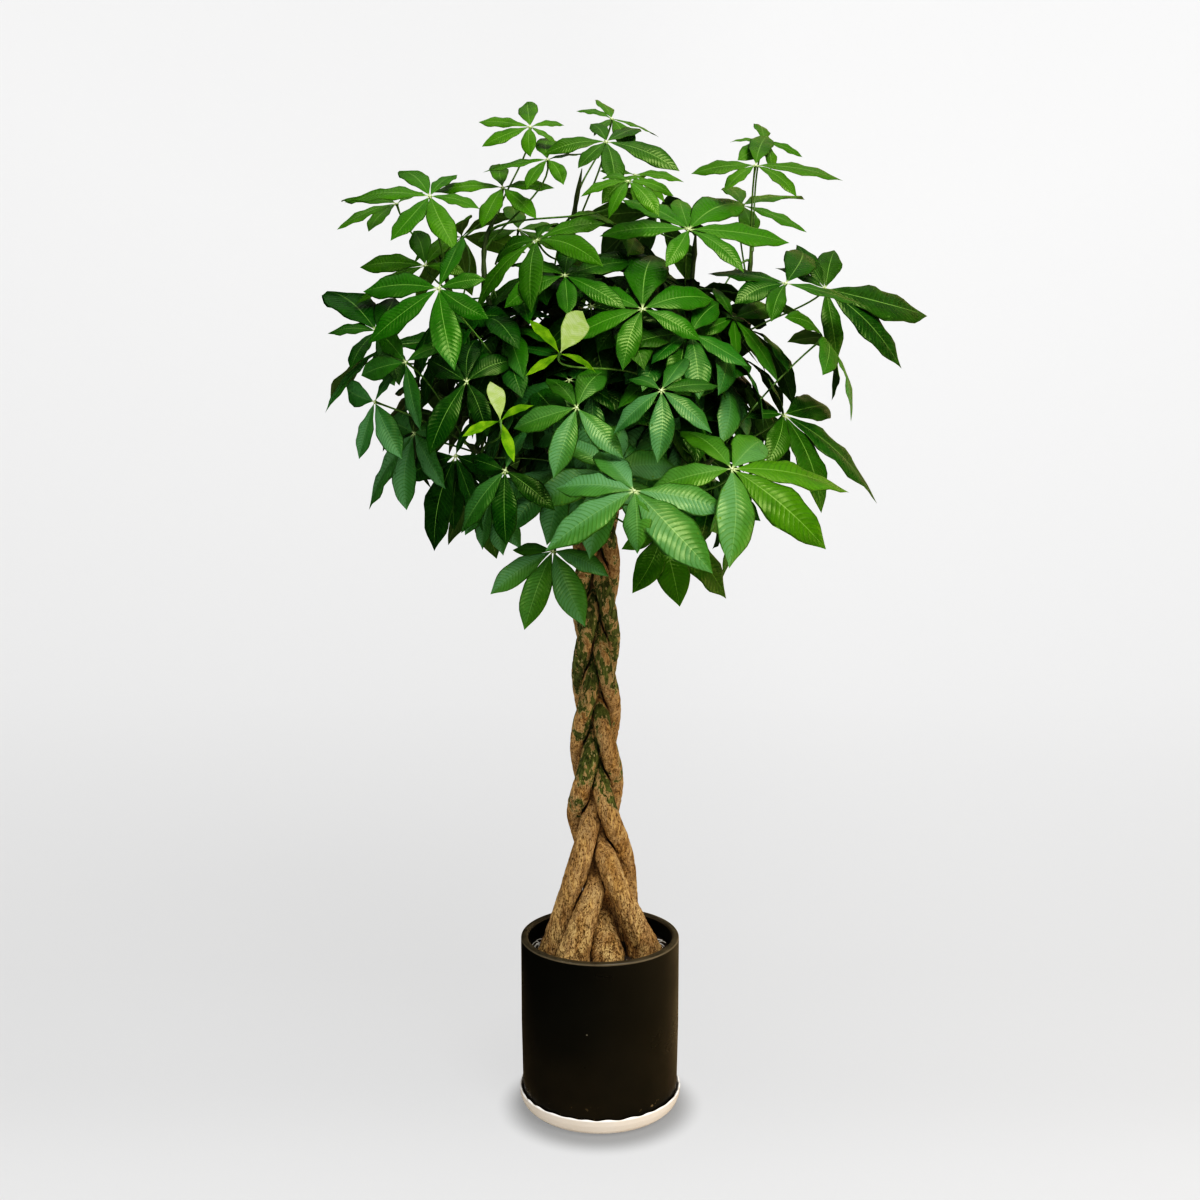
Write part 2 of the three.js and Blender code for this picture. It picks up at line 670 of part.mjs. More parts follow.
// Triangles between an upper ring and a lower one with another count of points, both
// listed by growing bearing
function stitch(faces, upper, upperBearings, lower, lowerBearings) {
  const full = 2 * Math.PI;
  const turns = (bearing) => Math.round((upperBearings[0] - bearing) / full) * full;
  const nearest = (best, bearing, j) =>
    Math.abs(bearing + turns(bearing) - upperBearings[0]) < Math.abs(best.off) ?
      { j, off: bearing + turns(bearing) - upperBearings[0] } : best;
  const start = lowerBearings.reduce(nearest, { j: 0, off: Infinity }).j;
  const shift = turns(lowerBearings[start]);
  const at = (bearings, i) => bearings[i % bearings.length] + Math.floor(i / bearings.length) * full;
  let i = 0;
  let j = 0;
  while (i < upper.length || j < lower.length) {
    const nextUpper = at(upperBearings, i + 1);
    const nextLower = at(lowerBearings, start + j + 1) + shift;
    const a = upper[i % upper.length];
    const b = lower[(start + j) % lower.length];
    if (j === lower.length || (i < upper.length && nextUpper <= nextLower)) {
      faces.push([b, upper[(i + 1) % upper.length], a]);
      i += 1;
    } else {
      faces.push([b, lower[(start + j + 1) % lower.length], a]);
      j += 1;
    }
  }
}

// Clearances: what a leaf or stem needs kept free, as plain numbers for speed. A blade is
// guarded by its triangles and by the edges of three layers, a rod by lines along its side.

function boxAround(numbers) {
  const box = [Infinity, Infinity, Infinity, -Infinity, -Infinity, -Infinity];
  for (let i = 0; i < numbers.length; i += 3) {
    for (let axis = 0; axis < 3; axis++) {
      box[axis] = Math.min(box[axis], numbers[i + axis]);
      box[axis + 3] = Math.max(box[axis + 3], numbers[i + axis]);
    }
  }
  return box;
}

function boxesMeet(a, b) {
  for (let axis = 0; axis < 3; axis++) {
    if (a[axis] > b[axis + 3] || b[axis] > a[axis + 3]) return false;
  }
  return true;
}

function bladeGuard({ root, rootSide, sections, tip, tipOver }) {
  const rows = [{ centre: root, side: rootSide, over: sections[0].over, half: 1 }, ...sections];
  const layer = (height) => {
    const ends = rows.map(({ centre, side, over, half }) => {
      const middle = centre.clone().addScaledVector(over, height);
      return [
        middle.clone().addScaledVector(side, half + edgeMargin).toArray(),
        middle.clone().addScaledVector(side, -half - edgeMargin).toArray(),
      ];
    });
    return { ends, point: tip.clone().addScaledVector(tipOver, height).toArray() };
  };
  const triangles = [];
  const edges = [];
  const rim = [];
  for (const height of [-bladeMargin, 0, bladeMargin]) {
    const { ends, point } = layer(height);
    for (let r = 0; r + 1 < ends.length; r++) {
      const [[l0, r0], [l1, r1]] = [ends[r], ends[r + 1]];
      edges.push(...l0, ...l1, ...r0, ...r1, ...l1, ...r1, ...r0, ...l1);
      if (height === 0) triangles.push(...r0, ...r1, ...l1, ...r0, ...l1, ...l0);
      if (height === 0) rim.push([l0, l1], [r0, r1]);
    }
    const [left, right] = ends[ends.length - 1];
    edges.push(...left, ...point, ...right, ...point);
    if (height === 0) triangles.push(...right, ...point, ...left);
    if (height === 0) rim.push([left, point], [right, point]);
  }
  return { triangles, edges, rim, box: boxAround(edges) };
}

function rodGuard(path, radius) {
  const axis = [];
  const edges = [];
  for (let i = 0; i + 1 < path.length; i++) {
    const heading = new THREE.Vector3().subVectors(path[i + 1], path[i]).normalize();
    const level = Math.abs(heading.z) < 0.9 ? new THREE.Vector3(0, 0, 1) : new THREE.Vector3(1, 0, 0);
    const across = new THREE.Vector3().crossVectors(heading, level).normalize();
    const over = new THREE.Vector3().crossVectors(across, heading);
    axis.push([path[i].toArray(), path[i + 1].toArray()]);
    for (const [a, b] of [[0, 0], [1, 0], [-1, 0], [0, 1], [0, -1]]) {
      const off = across.clone().multiplyScalar(a).addScaledVector(over, b);
      off.multiplyScalar(radius + rodMargin);
      edges.push(...path[i].clone().add(off).toArray(), ...path[i + 1].clone().add(off).toArray());
    }
  }
  return { axis, radius, edges, box: boxAround(edges) };
}

function segmentMeetsTriangle(e, i, t, j) {
  const dx = e[i + 3] - e[i];
  const dy = e[i + 4] - e[i + 1];
  const dz = e[i + 5] - e[i + 2];
  const ax = t[j + 3] - t[j];
  const ay = t[j + 4] - t[j + 1];
  const az = t[j + 5] - t[j + 2];
  const bx = t[j + 6] - t[j];
  const by = t[j + 7] - t[j + 1];
  const bz = t[j + 8] - t[j + 2];
  const px = dy * bz - dz * by;
  const py = dz * bx - dx * bz;
  const pz = dx * by - dy * bx;
  const det = ax * px + ay * py + az * pz;
  if (Math.abs(det) < 1e-9) return false;
  const sx = e[i] - t[j];
  const sy = e[i + 1] - t[j + 1];
  const sz = e[i + 2] - t[j + 2];
  const u = (sx * px + sy * py + sz * pz) / det;
  if (u < 0 || u > 1) return false;
  const qx = sy * az - sz * ay;
  const qy = sz * ax - sx * az;
  const qz = sx * ay - sy * ax;
  const v = (dx * qx + dy * qy + dz * qz) / det;
  if (v < 0 || u + v > 1) return false;
  const along = (bx * qx + by * qy + bz * qz) / det;
  return along >= 0 && along <= 1;
}

function edgesMeet(edges, triangles) {
  for (let i = 0; i < edges.length; i += 6) {
    for (let j = 0; j < triangles.length; j += 9) {
      if (segmentMeetsTriangle(edges, i, triangles, j)) return true;
    }
  }
  return false;
}

// The least distance between two straight pieces
function distanceBetween([a0, a1], [b0, b1]) {
  const u = new THREE.Vector3(a1[0] - a0[0], a1[1] - a0[1], a1[2] - a0[2]);
  const v = new THREE.Vector3(b1[0] - b0[0], b1[1] - b0[1], b1[2] - b0[2]);
  const w = new THREE.Vector3(a0[0] - b0[0], a0[1] - b0[1], a0[2] - b0[2]);
  const [uu, uv, vv, uw, vw] = [u.dot(u), u.dot(v), v.dot(v), u.dot(w), v.dot(w)];
  const clamp01 = (value) => Math.min(1, Math.max(0, value));
  const det = uu * vv - uv * uv;
  let s = det > 1e-9 ? clamp01((uv * vw - vv * uw) / det) : 0;
  const t = clamp01((uv * s + vw) / vv);
  s = clamp01((uv * t - uw) / uu);
  return w.addScaledVector(u, s).addScaledVector(v, -t).length();
}

function rodsTouch(a, b) {
  const least = a.radius + b.radius + rodMargin;
  return a.axis.some((one) => b.axis.some((other) => distanceBetween(one, other) < least));
}

function rodMeetsBlade(rod, blade) {
  if (!boxesMeet(rod.box, blade.box)) return false;
  if (edgesMeet(rod.edges, blade.triangles)) return true;
  const least = rod.radius + 1;
  return rod.axis.some((one) => blade.rim.some((other) => distanceBetween(one, other) < least));
}

function guardOf(leaf, owner) {
  const blades = leaf.leaflets.map(bladeGuard);
  const hubTop = leaf.hub.clone().addScaledVector(leaf.axes.normal, 2 * hubHalf);
  const rods = [rodGuard(leaf.petiole, petioleRadius), rodGuard([hubTop, leaf.petiole[0]], hubRadius)];
  const corners = [...blades, ...rods].flatMap(({ box }) => box);
  return { owner, blades, rods, box: boxAround(corners) };
}

function reachesBraid(edges) {
  for (let i = 0; i < edges.length; i += 3) {
    if (edges[i + 2] < braidTopZ + 20 && Math.hypot(edges[i], edges[i + 1]) < braidKeepOut) return true;
  }
  return false;
}

function guardsMeet(one, other) {
  if (!boxesMeet(one.box, other.box)) return false;
  for (const a of one.blades) {
    for (const b of other.blades) {
      if (boxesMeet(a.box, b.box)) {
        if (edgesMeet(a.edges, b.triangles) || edgesMeet(b.edges, a.triangles)) return true;
      }
    }
    if (other.rods.some((rod) => rodMeetsBlade(rod, a))) return true;
  }
  for (const rod of one.rods) {
    if (other.blades.some((blade) => rodMeetsBlade(rod, blade))) return true;
    if (one.owner !== other.owner && other.rods.some((b) => boxesMeet(rod.box, b.box) && rodsTouch(rod, b))) {
      return true;
    }
  }
  return false;
}

function isClear(guard, placed) {
  if (guard.blades.some(({ edges }) => reachesBraid(edges))) return false;
  if (guard.rods.some(({ edges }) => reachesBraid(edges))) return false;
  return !placed.some((other) => guardsMeet(guard, other));
}

// Placing the leaves

// A repeatable stream of numbers from 0 to 1
function seededRandom(seed) {
  let state = seed;
  return () => {
    state = (state * 1664525 + 1013904223) % 4294967296;
    return state / 4294967296;
  };
}

function shownPlans() {
  return shownLeaves.map((leaf, i) => ({
    ...leaf,
    droop: leaf.hub[1] < shownDroop.frontBefore ? shownDroop.front : shownDroop.other,
    slide: [0, 1, 0],
    outline: i < fineLeaves ? fineOutline : plainOutline,
  }));
}

function crownRadius(z) {
  const fromMiddle = (z - crownMiddleZ) / crownHalfHeight;
  return crownWidest * Math.sqrt(Math.max(0, 1 - fromMiddle ** 2));
}

function fillPlans(random) {
  return Array.from({ length: fillCount }, (_, i) => {
    const rise = (i + 0.5) / fillCount;
    const z = fillLowZ + (fillHighZ - fillLowZ) * rise;
    const bearing = i * goldenTurn;
    const slide = [Math.cos(bearing), Math.sin(bearing), 0];
    const radius = crownRadius(z) * (0.66 + 0.3 * slide[1]);
    const azimuth = THREE.MathUtils.radToDeg(Math.atan2(slide[0], -slide[1]));
    return {
      hub: [slide[0] * radius, slide[1] * radius, z],
      face: [azimuth, 22 + 34 * rise],
      count: 6,
      length: fillLeafletLength * (0.9 + 0.25 * random()),
      turn: (random() - 0.5) * 0.7,
      droop: 16,
      slide,
      outline: plainOutline,
    };
  });
}

// The free spots on the stems that suit a hub best: a stalk's length away, not above it,
// and on a stem that has few leaves so far
function bestFeet(hub, feet) {
  const taken = shoots.map((_, shoot) => feet.filter((foot) => foot.used && foot.shoot === shoot).length);
  const cost = ({ point, shoot }) =>
    Math.abs(point.distanceTo(hub) - usualPetiole) +
    1.5 * Math.max(0, point.z - hub.z + 15) +
    crowding * taken[shoot];
  return feet.filter((foot) => !foot.used).sort((a, b) => cost(a) - cost(b)).slice(0, feetTried);
}

function placeLeaf(plan, feet, placed, random) {
  for (let attempt = 0; attempt < placeTries; attempt++) {
    const steps = Math.ceil(attempt / 2) * (attempt % 2 ? 1 : -1);
    const loose = Math.max(0, attempt - firmTries) / firmTries;
    const jitter = (size) => loose * size * (random() - 0.5);
    const near = steps % firmTries;
    const hub = new THREE.Vector3(...plan.hub);
    hub.addScaledVector(new THREE.Vector3(...plan.slide), near * depthStep);
    hub.add(new THREE.Vector3(jitter(hubPlay), jitter(hubPlay), jitter(hubPlay)));
    const face = [plan.face[0] + jitter(azimuthPlay), plan.face[1] + jitter(elevationPlay)];
    for (const foot of bestFeet(hub, feet)) {
      const leaf = shapeLeaf(plan, hub, face, foot.point);
      const guard = guardOf(leaf, foot.shoot);
      if (isClear(guard, placed)) {
        foot.used = true;
        placed.push(guard);
        return { leaf, shoot: foot.shoot };
      }
    }
  }
  return null;
}

function growFoliage() {
  const random = seededRandom(7);
  const stems = shoots.map(stemOf);
  const placed = stems.map(({ path }, shoot) => {
    const rod = rodGuard(path, stemFootRadius);
    return { owner: shoot, blades: [], rods: [rod], box: rod.box };
  });
  const feet = stems.flatMap(({ path }, shoot) => {
    const curve = new THREE.CatmullRomCurve3(path);
    return footShares.map((share) => ({ shoot, point: curve.getPointAt(share), used: false }));
  });
  const plans = [...shownPlans(), ...fillPlans(random)];
  const leaves = plans.map((plan) => placeLeaf(plan, feet, placed, random));
  return { stems, leaves };
}

function shootSolid(stem, leaves) {
  const whole = leaves.reduce(
    (joined, leaf) => joined.add(solidFrom(leafGeometry(leaf))),
    solidFrom(stem.geometry),
  );
  const freed = strands.reduce((left, _, k) => left.subtract(solidFrom(strandGeometry(k, clearance))), whole);
  return largestPiece(freed);
}

addNode("pot", potGeometry(), colours.pot);
addNode("saucer", saucerGeometry(), colours.saucer);
addNode("soil", geometryOf(soilBody()), colours.soil);
strands.forEach((_, k) => addNode(`trunk_${k + 1}`, strandGeometry(k, 0), colours.trunk));

const foliage = growFoliage();
shoots.forEach(({ name }, shoot) => {
  const own = foliage.leaves.filter((grown) => grown && grown.shoot === shoot).map(({ leaf }) => leaf);
  addNode(name, geometryOf(shootSolid(foliage.stems[shoot], own)), colours.leaf);
});

export default tree;
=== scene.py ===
"""The looks of a potted money tree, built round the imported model.

The plant's forms are worked out in millimetres and become metres when a mesh is made.
+Z is up and the front of the plant looks towards -Y.
"""

import math
import random

import bmesh
import bpy
import numpy as np
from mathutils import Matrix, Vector, noise


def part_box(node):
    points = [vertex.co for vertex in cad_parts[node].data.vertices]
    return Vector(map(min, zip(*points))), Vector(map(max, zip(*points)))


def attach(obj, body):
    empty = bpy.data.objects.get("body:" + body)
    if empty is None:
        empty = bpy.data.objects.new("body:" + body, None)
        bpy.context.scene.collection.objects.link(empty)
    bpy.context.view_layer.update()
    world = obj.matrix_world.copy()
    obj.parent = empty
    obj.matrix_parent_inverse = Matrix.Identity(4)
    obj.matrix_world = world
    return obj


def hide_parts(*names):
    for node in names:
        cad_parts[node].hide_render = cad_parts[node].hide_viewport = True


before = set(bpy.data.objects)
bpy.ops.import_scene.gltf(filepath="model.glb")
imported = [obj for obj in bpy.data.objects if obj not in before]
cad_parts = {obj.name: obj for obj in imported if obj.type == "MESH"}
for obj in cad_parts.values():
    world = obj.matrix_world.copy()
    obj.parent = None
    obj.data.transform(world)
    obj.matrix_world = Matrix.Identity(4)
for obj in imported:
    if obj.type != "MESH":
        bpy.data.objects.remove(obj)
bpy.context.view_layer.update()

MM = 0.001

# Sizes read from the model
pot_low, pot_high = (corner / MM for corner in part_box("pot"))
saucer_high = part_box("saucer")[1] / MM
POT_RADIUS = pot_high.x
RIM_Z = pot_high.z
POT_FOOT_Z = pot_low.z
SAUCER_RADIUS = saucer_high.x
SAUCER_Z = saucer_high.z
POT_WALL = 13
INNER_RADIUS = POT_RADIUS - POT_WALL
SOIL_Z = RIM_Z - 28
SOIL_DOME = 5
DOME_RADIUS = 91
TRUNK_BOTTOM_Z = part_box("trunk_1")[0].z / MM

# The five-strand plait, by the same rule as the trunks in the model
TRUNKS = [f"trunk_{number}" for number in range(1, 6)]
TRUNK_FEET = [(46, 58), (-50, -62), (-77, -6), (11, -46), (81, -26)]
LEG_TOPS = [500, 430, 560, 420, 470]
TRUNK_CAP = 7
SWEEP = 27
DEPTH = 30
PITCH = 615
FIRST_EDGE_Z = 472
SHARPNESS = 0.08
SWELL = 0.29
SWELL_BELOW_Z = 850
SWELL_SPAN = 350
LEAN_X = -7
LEAN_FROM_Z = 440
LEAN_TO_Z = 550
LEVEL_STEP = 9
RADIUS_HIGH = 14.6
LEG_RADIUS = 20.5
LEG_BOW = 0.7
PLAIT_TOP_Z = 1150
FOOT_FLARE = 14
FOOT_FLARE_HEIGHT = 46

# The leafy shoots: where each springs from the plait and the way its stem takes
SHOOTS = {
    "shoot_left_tall": (
        1120, [(-95, -20, 1260), (-180, -20, 1395), (-190, -20, 1505), (-165, -20, 1560)],
    ),
    "shoot_middle_tall": (1125, [(-8, 28, 1270), (-45, 15, 1420), (-45, 15, 1540), (-30, 10, 1630)]),
    "shoot_right_tall": (1120, [(80, -5, 1260), (145, -5, 1400), (160, 0, 1530)]),
    "shoot_left_high": (1095, [(-130, 40, 1230), (-230, 35, 1370), (-270, 15, 1490)]),
    "shoot_right_high": (1090, [(140, 45, 1220), (235, 55, 1360), (260, 45, 1510)]),
    "shoot_front": (1095, [(40, -110, 1170), (65, -180, 1290)]),
    "shoot_front_left": (1080, [(-80, -100, 1165), (-150, -150, 1290)]),
    "shoot_front_low": (1045, [(0, -110, 1065), (20, -210, 1080)]),
    "shoot_right_low": (1060, [(110, -60, 1105), (190, -130, 1160)]),
    "shoot_left_low": (1055, [(-110, -40, 1110), (-225, -70, 1180)]),
    "shoot_back": (1085, [(25, 120, 1210), (30, 180, 1350)]),
    "shoot_back_left": (1070, [(-95, 110, 1160), (-170, 190, 1270)]),
    "shoot_back_right": (1065, [(100, 110, 1150), (190, 180, 1260)]),
    "shoot_back_low": (1040, [(0, 120, 1075), (-10, 230, 1110)]),
}
STEM_FOOT_RADIUS = 6
STEM_TIP_RADIUS = 3.4
FOOT_SHARES = (0.36, 0.48, 0.58, 0.68, 0.77, 0.85, 0.92, 0.98)

# A leaf in the model: a hub with flat leaflets on a stalk
HUB_HALF = 1.5
BLADE_THICKNESS = 0.8
STALK_RADIUS = 1.9
STALK_BEND = 0.3
STALK_RISE = 0.25
LEAFLET_WIDTH = 0.37
HUB_RADIUS = 5
SPINE_REACH = 0.45
SPINE_LIFT = 0.03


# Meshes

def new_piece(name, data):
    """An object in the scene, from a mesh, a light or a camera."""
    piece = bpy.data.objects.new(name, data)
    bpy.context.scene.collection.objects.link(piece)
    return piece


def smooth_mesh(name, points, faces, material):
    """A smooth mesh from points in millimetres."""
    mesh = bpy.data.meshes.new(name)
    mesh.from_pydata([tuple(MM * value for value in point) for point in points], [], faces)
    mesh.shade_smooth()
    mesh.materials.append(material)
    return mesh


def mesh_piece(name, points, faces, material):
    """A smooth piece from points in millimetres, with its faces turned outwards."""
    mesh = smooth_mesh(name, points, faces, material)
    outwards = bmesh.new()
    outwards.from_mesh(mesh)
    bmesh.ops.recalc_face_normals(outwards, faces=outwards.faces)
    outwards.to_mesh(mesh)
    outwards.free()
    return new_piece(name, mesh)


def set_attribute(mesh, name, values, kind="FLOAT"):
    field = "value" if kind == "FLOAT" else "vector"
    numbers = np.array(values, dtype=np.float32).ravel()
    mesh.attributes.new(name, kind, "POINT").data.foreach_set(field, numbers)


def skin(rings):
    """Faces between rings of equal counts, each end closed to a point of its own."""
    sides = len(rings[0])
    points = [point for ring in rings for point in ring]
    faces = []
    for level in range(len(rings) - 1):
        low = level * sides
        for i in range(sides):
            j = (i + 1) % sides
            faces.append((low + i, low + j, low + sides + j, low + sides + i))
    for ring, start, flipped in ((rings[0], 0, True), (rings[-1], len(points) - sides, False)):
        middle = len(points)
        points.append(tuple(sum(values) / sides for values in zip(*ring)))
        for i in range(sides):
            corner = (start + i, start + (i + 1) % sides, middle)
            faces.append(corner[::-1] if flipped else corner)
    return points, faces


def rounded(outline, radius, steps):
    """The closed outline with its corners drawn as short curves."""
    smooth = []
    for i, corner in enumerate(outline):
        here = Vector(corner)
        before = Vector(outline[i - 1])
        after = Vector(outline[(i + 1) % len(outline)])
        if here.x == 0:
            smooth.append(here)
            continue
        start = here + (before - here).normalized() * min(radius, (before - here).length * 0.4)
        end = here + (after - here).normalized() * min(radius, (after - here).length * 0.4)
        for step in range(steps + 1):
            t = step / steps
            smooth.append(start * (1 - t) ** 2 + here * 2 * t * (1 - t) + end * t ** 2)
    return smooth


def turned(outline, sides, change=None, closed=True):
    """Points and faces of a (radius, height) outline turned round the Z axis."""
    points = []
    rings = []
    for radius, height in outline:
        if radius == 0:
            rings.append([len(points)] * sides)
            points.append((0, 0, height))
            continue
        rings.append(list(range(len(points), len(points) + sides)))
        for i in range(sides):
            bearing = 2 * math.pi * i / sides
            r, z = change(radius, height, bearing) if change else (radius, height)
            points.append((r * math.cos(bearing), r * math.sin(bearing), z))
    faces = []
    for near, far in zip(rings, rings[1:] + rings[:closed]):
        for i in range(sides):
            j = (i + 1) % sides
            face = list(dict.fromkeys((near[i], near[j], far[j], far[i])))
            if len(face) > 2:
                faces.append(face)
    return points, faces


def clamped(value):
    return min(1, max(0, value))


def smoothstep(low, high, value):
    share = np.clip((value - low) / (high - low), 0, 1)
    return share * share * (3 - 2 * share)


# Node trees

FLOAT = "NodeSocketFloat"
VECTOR = "NodeSocketVector"
MATERIAL = "NodeSocketMaterial"
GEOMETRY = "NodeSocketGeometry"
NUMBER_SOCKETS = {float: FLOAT, int: "NodeSocketInt"}


def add_node(tree, kind, inputs=None, **settings):
    """Adds a node. An input is a plain value, or another node's output to link."""
    node = tree.nodes.new(kind)
    for name, value in settings.items():
        setattr(node, name, value)
    for name, value in (inputs or {}).items():
        if isinstance(value, bpy.types.NodeSocket):
            tree.links.new(value, node.inputs[name])
        else:
            node.inputs[name].default_value = value
    return node


def outputs(kind, inputs, **settings):
    """Adds a node to the tree that its linked inputs come from, and gives its outputs."""
    tree = next(value.id_data for value in inputs.values() if isinstance(value, bpy.types.NodeSocket))
    return add_node(tree, kind, inputs, **settings).outputs


def output(kind, inputs, **settings):
    """The first output of a new node."""
    return outputs(kind, inputs, **settings)[0]


def maths(operation, *values):
    return output("ShaderNodeMath", dict(enumerate(values)), operation=operation)


def times(first, *others):
    for other in others:
        first = maths("MULTIPLY", first, other)
    return first


def plus(one, other):
    return maths("ADD", one, other)


def minus(one, other):
    return maths("SUBTRACT", one, other)


def vector_maths(operation, *values):
    return output("ShaderNodeVectorMath", dict(enumerate(values)), operation=operation)


def scaled(vector, factor):
    return output("ShaderNodeVectorMath", {0: vector, "Scale": factor}, operation="SCALE")


def parts_of(vector):
    return outputs("ShaderNodeSeparateXYZ", {"Vector": vector})


def vector_of(x, y, z):
    return output("ShaderNodeCombineXYZ", {"X": x, "Y": y, "Z": z})


def span(value, low, high, to_low=0.0, to_high=1.0, smooth=True):
    """The value's place between low and high, as a number from to_low to to_high."""
    inputs = {"Value": value, "From Min": low, "From Max": high, "To Min": to_low, "To Max": to_high}
    return output("ShaderNodeMapRange", inputs, interpolation_type="SMOOTHSTEP" if smooth else "LINEAR")


def blend(factor, one, other):
    """Two colours mixed: the first where the factor is 0, the other where it is 1."""
    one, other = ((*value, 1) if isinstance(value, tuple) else value for value in (one, other))
    return outputs("ShaderNodeMix", {0: factor, 6: one, 7: other}, data_type="RGBA")[2]


def grain(vector, scale, detail=3.0, roughness=0.55, distortion=0.0, seed=None):
    """Noise from 0 to 1. Each seed gives another pattern of the same grain."""
    inputs = {"Vector": vector, "Scale": scale, "Detail": detail}
    inputs |= {"Roughness": roughness, "Distortion": distortion}
    if seed is None:
        return output("ShaderNodeTexNoise", inputs, noise_dimensions="3D")
    return output("ShaderNodeTexNoise", inputs | {"W": seed}, noise_dimensions="4D")


def named(tree, name, kind="FLOAT"):
    """A stored attribute, in a geometry tree."""
    node = add_node(tree, "GeometryNodeInputNamedAttribute", {"Name": name}, data_type=kind)
    return next(socket for socket in node.outputs if socket.enabled)


def new_group(kind, name, inputs, results):
    """A node group with named sockets, and its own input and output nodes.

    An input is given by the kind of its socket, or by the number that it starts with.
    """
    tree = bpy.data.node_groups.new(name, kind)
    for label, given in inputs.items():
        socket = given if isinstance(given, str) else NUMBER_SOCKETS[type(given)]
        made = tree.interface.new_socket(label, in_out="INPUT", socket_type=socket)
        if given is not socket:
            made.default_value = given
    for label, socket in results.items():
        tree.interface.new_socket(label, in_out="OUTPUT", socket_type=socket)
    return tree, tree.nodes.new("NodeGroupInput").outputs, tree.nodes.new("NodeGroupOutput").inputs


def use_group(group, inputs):
    return outputs("ShaderNodeGroup", inputs, node_tree=group)


# Shader groups

def patches_group():
    """Ragged patches that cover a share of the surface, as flaking or peeling leaves them."""
    tree, given, out = new_group("ShaderNodeTree", "ragged patches", {
        "Vector": VECTOR,
        "Seed": 0.0,
        "Scale": 10.0,
        "Share": 0.5,
        "Softness": 0.02,
    }, {"Mask": FLOAT})
    value = grain(given["Vector"], given["Scale"], 6, 0.62, 0.35, given["Seed"])
    edge = span(given["Share"], 0.0, 1.0, 0.7, 0.3, smooth=False)
    low = minus(edge, given["Softness"])
    high = plus(edge, given["Softness"])
    tree.links.new(span(value, low, high), out["Mask"])
    return tree


def specks_group():
    """Small scattered specks, a share of the cells of a cell pattern."""
    tree, given, out = new_group("ShaderNodeTree", "scattered specks", {
        "Vector": VECTOR,
        "Scale": 100.0,
        "Share": 0.2,
        "Size": 0.2,
    }, {"Mask": FLOAT})
    cells = outputs("ShaderNodeTexVoronoi", {"Vector": given["Vector"], "Scale": given["Scale"]})
    inside = maths("LESS_THAN", cells["Distance"], given["Size"])
    luck = output("ShaderNodeSeparateColor", {"Color": cells["Color"]})
    chosen = maths("LESS_THAN", luck, given["Share"])
    tree.links.new(times(inside, chosen), out["Mask"])
    return tree


def fibres_group():
    """Long fibres that run up and down, as in bark, stalks and dry moss."""
    tree, given, out = new_group("ShaderNodeTree", "upright fibres", {
        "Vector": VECTOR,
        "Seed": 0.0,
        "Scale": 100.0,
        "Shortness": 0.1,
    }, {"Value": FLOAT})
    x, y, z = parts_of(given["Vector"])
    drawn = vector_of(x, y, times(z, given["Shortness"]))
    value = grain(drawn, given["Scale"], 5, 0.6, 0.3, given["Seed"])
    tree.links.new(span(value, 0.3, 0.7), out["Value"])
    return tree


def veins_group():
    """A leaflet's midrib, its side veins and the quilting between them."""
    tree, given, out = new_group("ShaderNodeTree", "leaf veins", {
        "Across": 0.0,
        "Along": 0.0,
        "Pairs": 15.0,
        "Slant": 0.13,
    }, {"Midrib": FLOAT, "Veins": FLOAT, "Quilt": FLOAT})
    side = maths("ABSOLUTE", given["Across"])
    taper = span(given["Along"], 0.0, 1.0, 0.06, 0.022, smooth=False)
    midrib = span(side, 0.0, taper, 1.0, 0.0)
    bow = times(maths("POWER", side, 1.35), given["Slant"])
    level = minus(given["Along"], bow)
    turn = times(level, given["Pairs"], math.pi)
    wave = maths("ABSOLUTE", maths("SINE", turn))
    margin = span(side, 0.82, 1.0, 1.0, 0.0)
    veins = times(span(wave, 0.0, 0.2, 1.0, 0.0), margin)
    quilt = times(maths("POWER", wave, 0.6), margin)
    tree.links.new(midrib, out["Midrib"])
    tree.links.new(veins, out["Veins"])
    tree.links.new(quilt, out["Quilt"])
    return tree


PATCHES = patches_group()
SPECKS = specks_group()
FIBRES = fibres_group()
VEINS = veins_group()


def patches_on(place, scale, share, softness, seed=0.0):
    inputs = {"Vector": place, "Seed": seed, "Scale": scale, "Share": share, "Softness": softness}
    return use_group(PATCHES, inputs)[0]


def specks_on(place, scale, share, size):
    return use_group(SPECKS, {"Vector": place, "Scale": scale, "Share": share, "Size": size})[0]


def fibres_on(place, scale, shortness, seed=0.0):
    return use_group(FIBRES, {"Vector": place, "Seed": seed, "Scale": scale, "Shortness": shortness})[0]


# Materials

def new_material(name):
    """A new material, with its Principled shader and the place in the object."""
    material = bpy.data.materials.new(name)
    material.use_nodes = True
    tree = material.node_tree
    return material, tree.nodes["Principled BSDF"], add_node(tree, "ShaderNodeTexCoord").outputs["Object"]


def attribute(shader, name):
    return add_node(shader.id_data, "ShaderNodeAttribute", attribute_name=name).outputs["Fac"]


def set_look(shader, colour, roughness, height=None, depth=0.001, strength=1.0, specular=0.5):
    """Joins colour, roughness and relief to the shader. The depth is in metres."""
    link = shader.id_data.links.new
    link(colour, shader.inputs["Base Color"])
    link(roughness, shader.inputs["Roughness"])
    if height is not None:
        relief = output("ShaderNodeBump", {"Height": height, "Distance": depth, "Strength": strength})
        link(relief, shader.inputs["Normal"])
    shader.inputs["Specular IOR Level"].default_value = specular


